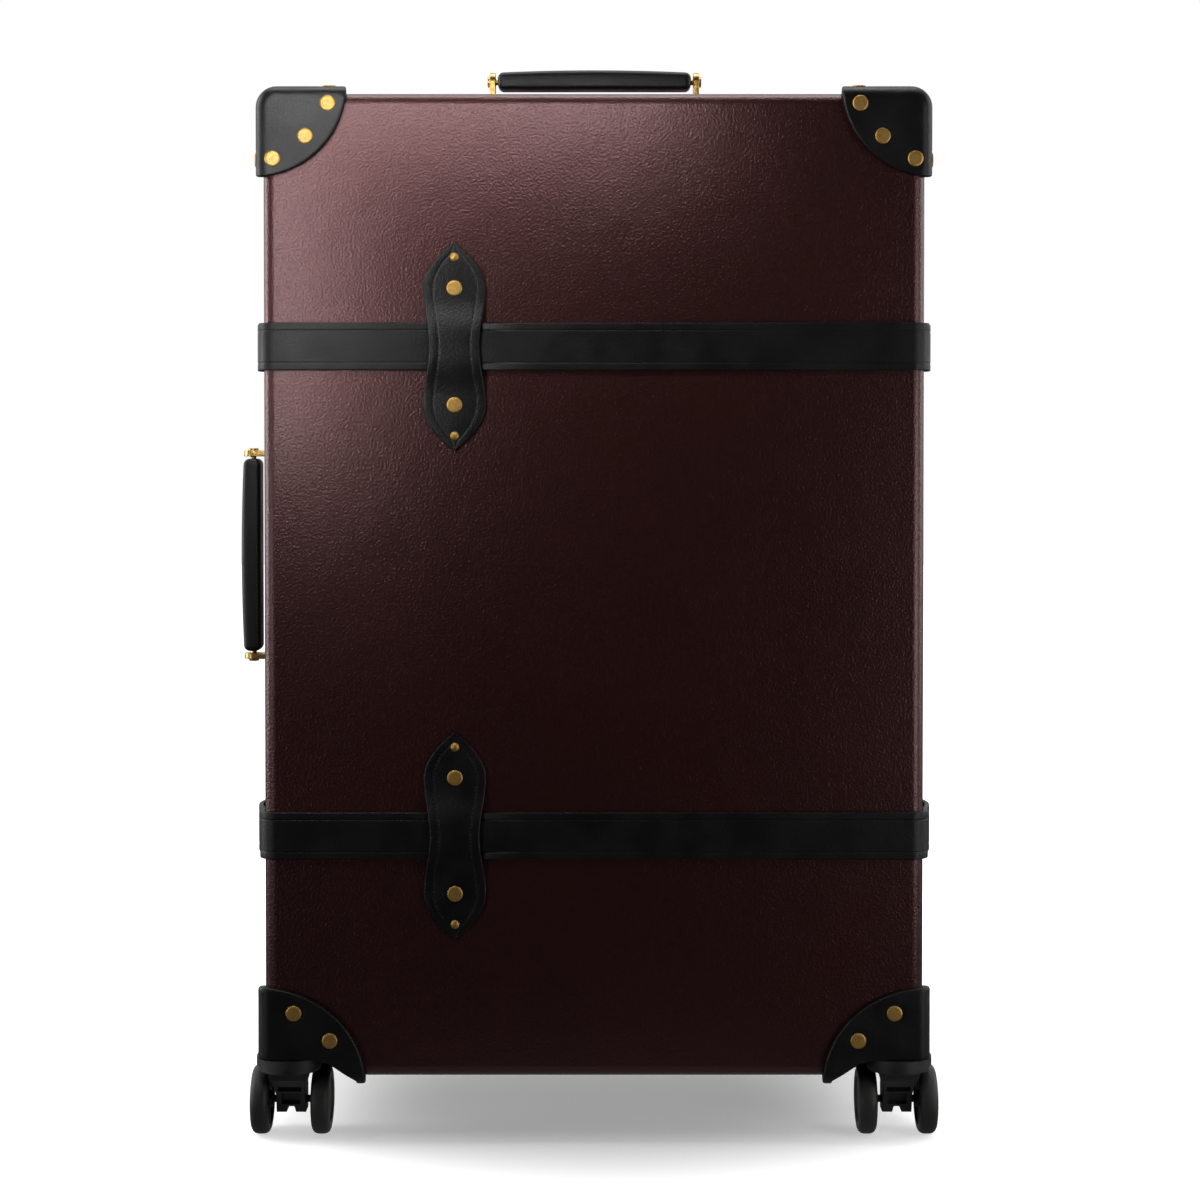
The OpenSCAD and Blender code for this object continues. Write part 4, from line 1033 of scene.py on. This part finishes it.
# The tyre with its hub, as pairs of a radius and a height under the plain face, in millimetres
tyre = [(0, -1.6), (6.5, -1.6), (7.2, -1.2), (8.2, -1.1), (9.0, -1.9), (17.0, -2.2), (18.2, -2.1),
        (18.8, -1.2), (19.4, -0.5), (20.6, -0.1), (22.6, 0.0), (24.4, -0.3), (26.2, -1.3), (27.4, -2.9),
        (27.9, -4.9), (28.0, -7.5), (27.9, -10.1), (27.4, -12.1), (26.2, -13.7), (24.4, -14.7),
        (22.4, -15.0), (21.2, -14.8), (20.6, -14.2), (20.4, -13.0), (20.2, -8.6), (19.6, -8.0),
        (7.4, -8.0), (6.8, -8.6), (6.6, -16.2), (6.0, -17.0), (4.0, -17.0)]
# A spoke, as pairs of a radius and half its width there, and how far it stands below the plain face
spokes, spoke_line, spoke_levels = 6, [(6.2, 1.9), (13, 1.3), (20.8, 2.4)], (-8.1, -13.6)
# A fork's sunk windows: half their width, and outlines behind the swivel and above the floor, in millimetres
windows = [(9.5 * mm, [(-30, 43.5), (-5.1, 43.5), (1.3, 38), (-30, 38)]),
           (7.5 * mm, [(-30, 35.5), (4.2, 35.5), (6, 34), (8, 26), (-30, 26)]),
           (9.5 * mm, [(40, 50), (16.5, 50), (18.5, 39.5), (40, 39.5)]),
           (7.5 * mm, [(40, 37), (19.5, 37), (19, 26), (40, 26)])]

for half, body in (("rear", "base"), ("front", "lid")):
    dress(f"{half}_caster_collars", f"{half}_caster_mounts", moulded_nylon, body, 0.5 * mm)


def wheel(name, node, body, outward):
    """A wheel about its axle; outward is 1 or -1, the side of its plain face."""
    low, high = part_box(node)
    outer_x = high.x if outward > 0 else low.x
    axle = Matrix.Translation((outer_x, (low.y + high.y) / 2, (low.z + high.z) / 2))
    place = axle @ Matrix.Rotation(math.radians(90) * outward, 4, "Y")
    form = bmesh.new()
    turn(form, [(r * mm, h * mm) for r, h in tyre], place, 96)
    for k in range(spokes):
        spin = place @ Matrix.Rotation(math.tau * k / spokes, 4, "Z")
        lower = [[form.verts.new(spin @ Vector((r * mm, s * half * mm, z * mm))) for z in spoke_levels]
                 for r, half in spoke_line for s in (-1, 1)]
        for i in range(0, 4, 2):
            a, b, c, d = lower[i], lower[i + 1], lower[i + 2], lower[i + 3]
            form.faces.new((a[0], a[1], c[1], c[0]))
            form.faces.new((b[0], b[1], d[1], d[0]))
            form.faces.new((a[1], b[1], d[1], c[1]))
            form.faces.new((a[0], b[0], d[0], c[0]))
        form.faces.new((lower[0][0], lower[1][0], lower[1][1], lower[0][1]))
        form.faces.new((lower[4][0], lower[5][0], lower[5][1], lower[4][1]))
    piece = as_piece(name, form, wheel_rubber)
    even_shading(piece)
    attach(piece, body)
    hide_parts(node)


def fork_piece(name, node, body, x, y):
    """A caster's fork, moulded hollow: windows above and below a bridge, in its front and rear faces."""
    pockets = bmesh.new()
    for half, outline in windows:
        block(pockets, *([(x + across, y + py * mm, pz * mm) for py, pz in outline]
                         for across in (-half, half)))
    dress(name, node, moulded_nylon, body, 0.5 * mm, pockets=pockets)


for half, y in (("front", swivel_front), ("rear", swivel_rear)):
    for hand, sx in (("left", -1), ("right", 1)):
        caster = f"caster_{half}_{hand}"
        fork_piece(f"{caster}_yoke", f"caster_fork_{half}_{hand}", caster, sx * swivel_x, y)
        for place, outward in (("outer", sx), ("inner", -sx)):
            node = f"wheel_{half}_{hand}_{place}"
            wheel(f"{node}_tyre", node, node, outward)

# ---- Linings ----
# Thin board trays covered in striped cotton twill are glued into both halves. Across the lid hangs a deep
# pocket of the same cotton, gathered on elastic, and two webbing straps hold down what is packed in the rear.

stripe_pitch = 24 * mm


def cotton(name):
    """Cotton twill with narrow woven stripes that run up the case."""
    finish = Finish(name, {"Roughness": 0.85, "Specular IOR Level": 0.25, "Sheen Weight": 0.15})
    stripes = finish.wave(math.tau / 20 / stripe_pitch, "X")
    twill = finish.wave(290.0, distortion=0.5)
    slub = finish.noise(1.0, 3.0, 0.6, finish.stretched(80, 80, 900))
    ground = finish.mix(slub, paint(168, 150, 121), paint(190, 174, 146))
    band = finish.mix(twill, paint(84, 30, 27), paint(108, 46, 41))
    finish.feed({"Base Color": finish.mix(finish.between(stripes, 0.88, 0.92), ground, band),
                 "Normal": finish.raise_by(twill * 0.6 + slub * 0.4, 0.12 * mm)})
    return finish.material


lining_cotton = cotton("lining_cotton")
for half in ("base", "lid"):
    cover(f"{half}_lining", lining_cotton)

pocket_low, pocket_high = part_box("lid_pocket")
pocket_wide, pocket_tall = pocket_high.x - pocket_low.x, pocket_high.z - pocket_low.z
pocket_y = (pocket_low.y + pocket_high.y) / 2
cloth, pleat, pleat_depth, hem_r = 0.7 * mm, 17 * mm, 1.25 * mm, 1.5 * mm


def pocket_fold(x, share):
    """How far the pocket's cotton stands forward, in pleats that fade between the hem and the seam."""
    gather = 0.22 + 0.78 * abs(2 * share - 1) ** 1.6
    phase = math.tau * x / pleat + 1.1 * math.sin(x / (43 * mm) + 2.4 * share) + 0.7 * math.sin(x / (19 * mm))
    return pleat_depth * gather * math.cos(phase)


columns, levels, hem_sides = 300, 48, 12
pocket_form = bmesh.new()
faces = []
for out in (-cloth / 2, cloth / 2):
    faces.append([[pocket_form.verts.new((pocket_low.x + pocket_wide * i / columns,
                                          pocket_y + out + pocket_fold(pocket_wide * i / columns, k / levels),
                                          pocket_low.z + (pocket_tall - hem_r) * k / levels))
                   for i in range(columns + 1)] for k in range(levels + 1)])
for sheet_rows in faces:
    for one, two in zip(sheet_rows, sheet_rows[1:]):
        for i in range(columns):
            pocket_form.faces.new((one[i], one[i + 1], two[i + 1], two[i]))
back_rows, front_rows = faces
for k in (0, levels):
    for i in range(columns):
        pocket_form.faces.new((back_rows[k][i], back_rows[k][i + 1], front_rows[k][i + 1], front_rows[k][i]))
for i in (0, columns):
    for k in range(levels):
        pocket_form.faces.new((back_rows[k][i], back_rows[k + 1][i], front_rows[k + 1][i], front_rows[k][i]))
hem_path = [(front.co + back.co) / 2 for front, back in zip(front_rows[levels], back_rows[levels])]
pocket = as_piece("pocket_cloth", pocket_form, lining_cotton)
hem_form = bmesh.new()
turns = [math.tau * k / hem_sides for k in range(hem_sides)]
rings = [[hem_form.verts.new(spot + hem_r * Vector((0, 0.85 * math.cos(a), math.sin(a)))) for a in turns]
         for spot in hem_path]
bridge(hem_form, rings)
close_ends(hem_form, rings)
hem = as_piece("pocket_hem", hem_form, lining_cotton)
for piece in (pocket, hem):
    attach(piece, "lid")
    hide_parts("lid_pocket")

band_thick, band_half, clip_thick, anchor = 1.6 * mm, 12.5 * mm, 3.2 * mm, 16 * mm
webbing_finish = Finish("webbing", {"Roughness": 0.7, "Specular IOR Level": 0.3})
ribs = webbing_finish.wave(230.0)
webbing_finish.feed({"Base Color": webbing_finish.mix(ribs, paint(22, 21, 20), paint(46, 44, 42)),
                     "Normal": webbing_finish.raise_by(ribs, 0.3 * mm)})
webbing_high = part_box("packing_straps")[1]
tab_thick, tab_tall, tab_corner = 1.6 * mm, 34 * mm, 6 * mm
# The clip's two halves and the ribs on them: middle across, width, and for the halves their height
clip_halves = ((-10 * mm, 27 * mm, 33 * mm), (13 * mm, 20 * mm, 29 * mm))
rib_places, rib_wide, rib_tall = (-19 * mm, -5 * mm, 15 * mm), 3 * mm, 24 * mm


def panel(form, outline, y, thick, round_r=0.5 * mm):
    """Adds a plate that faces the lid, over an outline of x and z points, with an eased front edge."""
    middle = Vector((sum(p[0] for p in outline), sum(p[1] for p in outline))) / len(outline)
    layers = []
    for inset, back in ((0.0, 0.0), (0.0, round_r - thick), (round_r, -thick)):
        points = [Vector(p) + (middle - Vector(p)).normalized() * inset for p in outline]
        layers.append([form.verts.new((px, y + back, pz)) for px, pz in points])
    bridge(form, layers)
    close_ends(form, layers)


def about(x, z, wide, tall, corner):
    """A rounded outline about a point of the lining."""
    return [(x + px, z + pz) for px, pz in rounded_outline(wide, tall, corner)]


for z, level in ((upper_z, "upper"), (lower_z, "lower")):
    band, clip, tabs, studs = bmesh.new(), bmesh.new(), bmesh.new(), bmesh.new()
    reach_x = webbing_high.x
    ends = [(sx * reach_x, z + sz * band_half) for sx, sz in ((-1, -1), (1, -1), (1, 1), (-1, 1))]
    panel(band, ends, webbing_high.y, band_thick, 0.4 * mm)
    front_y = webbing_high.y - band_thick
    for cx, wide, tall in clip_halves:
        panel(clip, about(cx, z, wide, tall, 4 * mm), front_y, clip_thick, 0.8 * mm)
    for cx in rib_places:
        panel(clip, about(cx, z, rib_wide, rib_tall, 1.4 * mm), front_y - clip_thick + 0.1 * mm, 0.9 * mm,
              0.4 * mm)
    for sx in (-1, 1):
        cx = sx * (reach_x - anchor)
        panel(tabs, about(cx, z, 2 * anchor, tab_tall, tab_corner), front_y, tab_thick)
        place = Matrix.Translation((cx, front_y - tab_thick, z)) @ Matrix.Rotation(math.radians(90), 4, "X")
        head(studs, domed_head, stud_r, 1.4 * mm, place)
    for name, form, material, slot_name in (("webbing", band, webbing_finish.material, "webbing"),
                                            ("clip", clip, moulded_nylon, "black_plastic"),
                                            ("tabs", tabs, keeper_leather, "black_leather"),
                                            ("tab_studs", studs, rivet_brass, "brass")):
        piece = as_piece(f"packing_{name}_{level}", form, material)
        even_shading(piece)
        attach(piece, "base")
        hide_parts("packing_straps")

# ---- Studio ----
# The trunk stands on a pale floor that runs up into a white wall, between large soft lamps. The floor's own
# glow makes a painted shadow round the trunk and a painted reflection in its lower edges.

# In metres from the middle: where the floor's painted shadow starts to lift and where it is gone, and where
# its painted reflection starts to fade and where it is gone.
painted_shade_inner, painted_shade_outer, painted_reflection_inner, painted_reflection_outer = 0.12, 0.5, 0.25, 0.4
wall_dark, wall_bright = 0.004, 0.9
trunk_middle = Vector((0, 0, 0.45))
camera_place, camera_tilt = (0.0048, -2.1425, 0.581), 1.2
floor_finish = Finish("studio_floor", {"Roughness": 0.9, "Specular IOR Level": 0.1, "Emission Strength": 1.0})
seen = floor_finish.node("LightPath", {}, {}, "Is Camera Ray")
reach = floor_finish.node("VectorMath", {"operation": "LENGTH"}, {0: floor_finish.place}, "Value")
# The floor glows white to the camera, but only about a quarter as brightly close round the trunk, rising to
# full further out: a painted shadow round the trunk, over the lamps' own shadow.
painted_glow = floor_finish.between(reach, painted_shade_inner, painted_shade_outer, 0.26, 1.0) * seen
# Close round the trunk the floor also glows for glossy rays alone: a painted reflection, seen only in the
# trunk's lower edges and casters.
painted_reflection_rays = floor_finish.node("LightPath", {}, {}, "Is Glossy Ray")
painted_glow = painted_glow + painted_reflection_rays * floor_finish.between(reach, painted_reflection_inner, painted_reflection_outer, 0.2, 0.0)
# To the camera the floor is pale; to every other ray it is nearly black, so it throws almost no light back
# onto the trunk.
floor_finish.feed({"Base Color": floor_finish.mix(seen, (0.03, 0.03, 0.03, 1), (0.82, 0.82, 0.82, 1)),
                   "Emission Color": floor_finish.mix(painted_glow, (0, 0, 0, 1), (1, 1, 1, 1))})
floor_form = bmesh.new()
bmesh.ops.create_grid(floor_form, x_segments=2, y_segments=2, size=8)
floor = as_piece("floor", floor_form, floor_finish.material)

world = bpy.data.worlds.new("studio")
bpy.context.scene.world = world
world.use_nodes = True
room = Wiring(world.node_tree)
towards = room.node("SeparateXYZ", {}, {0: room.node("TexCoord", {}, {}, "Generated")}, "Y")
walls = room.between(towards, 0.0, 0.5, wall_dark, wall_bright)
seen = room.node("LightPath", {}, {}, "Is Camera Ray")
level = walls + seen * (1 - walls)
room.plug(room.nodes["Background"], {"Color": (1, 1, 1, 1), "Strength": level})


def lamp(name, location, aim, size, power):
    """A soft box of the given width and height in metres, turned towards aim; its power is in watts."""
    light = bpy.data.lights.new(name, "AREA")
    light.shape, light.size, light.size_y, light.energy = "RECTANGLE", size[0], size[1], power
    made = bpy.data.objects.new(name, light)
    made.location = location
    made.rotation_euler = (Vector(aim) - Vector(location)).to_track_quat("-Z", "Y").to_euler()
    bpy.context.scene.collection.objects.link(made)


lamp("left_box", (-0.285, -0.4, 0.785), (-0.255, -0.14, 0.745), (0.05, 0.48), 1.1)
lamp("top_box", (-0.08, -0.36, 0.872), (-0.08, -0.14, 0.84), (0.3, 0.04), 0.6)
lamp("right_box", (0.62, -0.5, 0.5), (0.26, -0.14, 0.5), (0.2, 0.9), 1.4)
lamp("low_left", (-1.3, -1.2, 0.25), (0, -0.14, 0.2), (0.6, 0.5), 3.2)
lamp("low_right", (1.3, -1.2, 0.25), (0, -0.14, 0.2), (0.6, 0.5), 3.2)
lamp("left_strip", (-1.8, 0.1, 0.9), trunk_middle, (0.8, 1.8), 30)
lamp("right_strip", (1.8, 0.1, 0.8), trunk_middle, (0.8, 1.8), 14)
lamp("top_strip", (0, 0.1, 2.4), trunk_middle, (1.8, 0.8), 26)

lens = bpy.data.cameras.new("camera")
lens.lens, lens.sensor_width = 75, 36
lens.shift_y = -0.105
lens.clip_start, lens.clip_end = 0.05, 50
camera = bpy.data.objects.new("camera", lens)
camera.location = camera_place
camera.rotation_euler = (math.radians(90 - camera_tilt), 0, 0)
bpy.context.scene.collection.objects.link(camera)
bpy.context.scene.camera = camera
bpy.context.scene.view_settings.view_transform = "Standard"
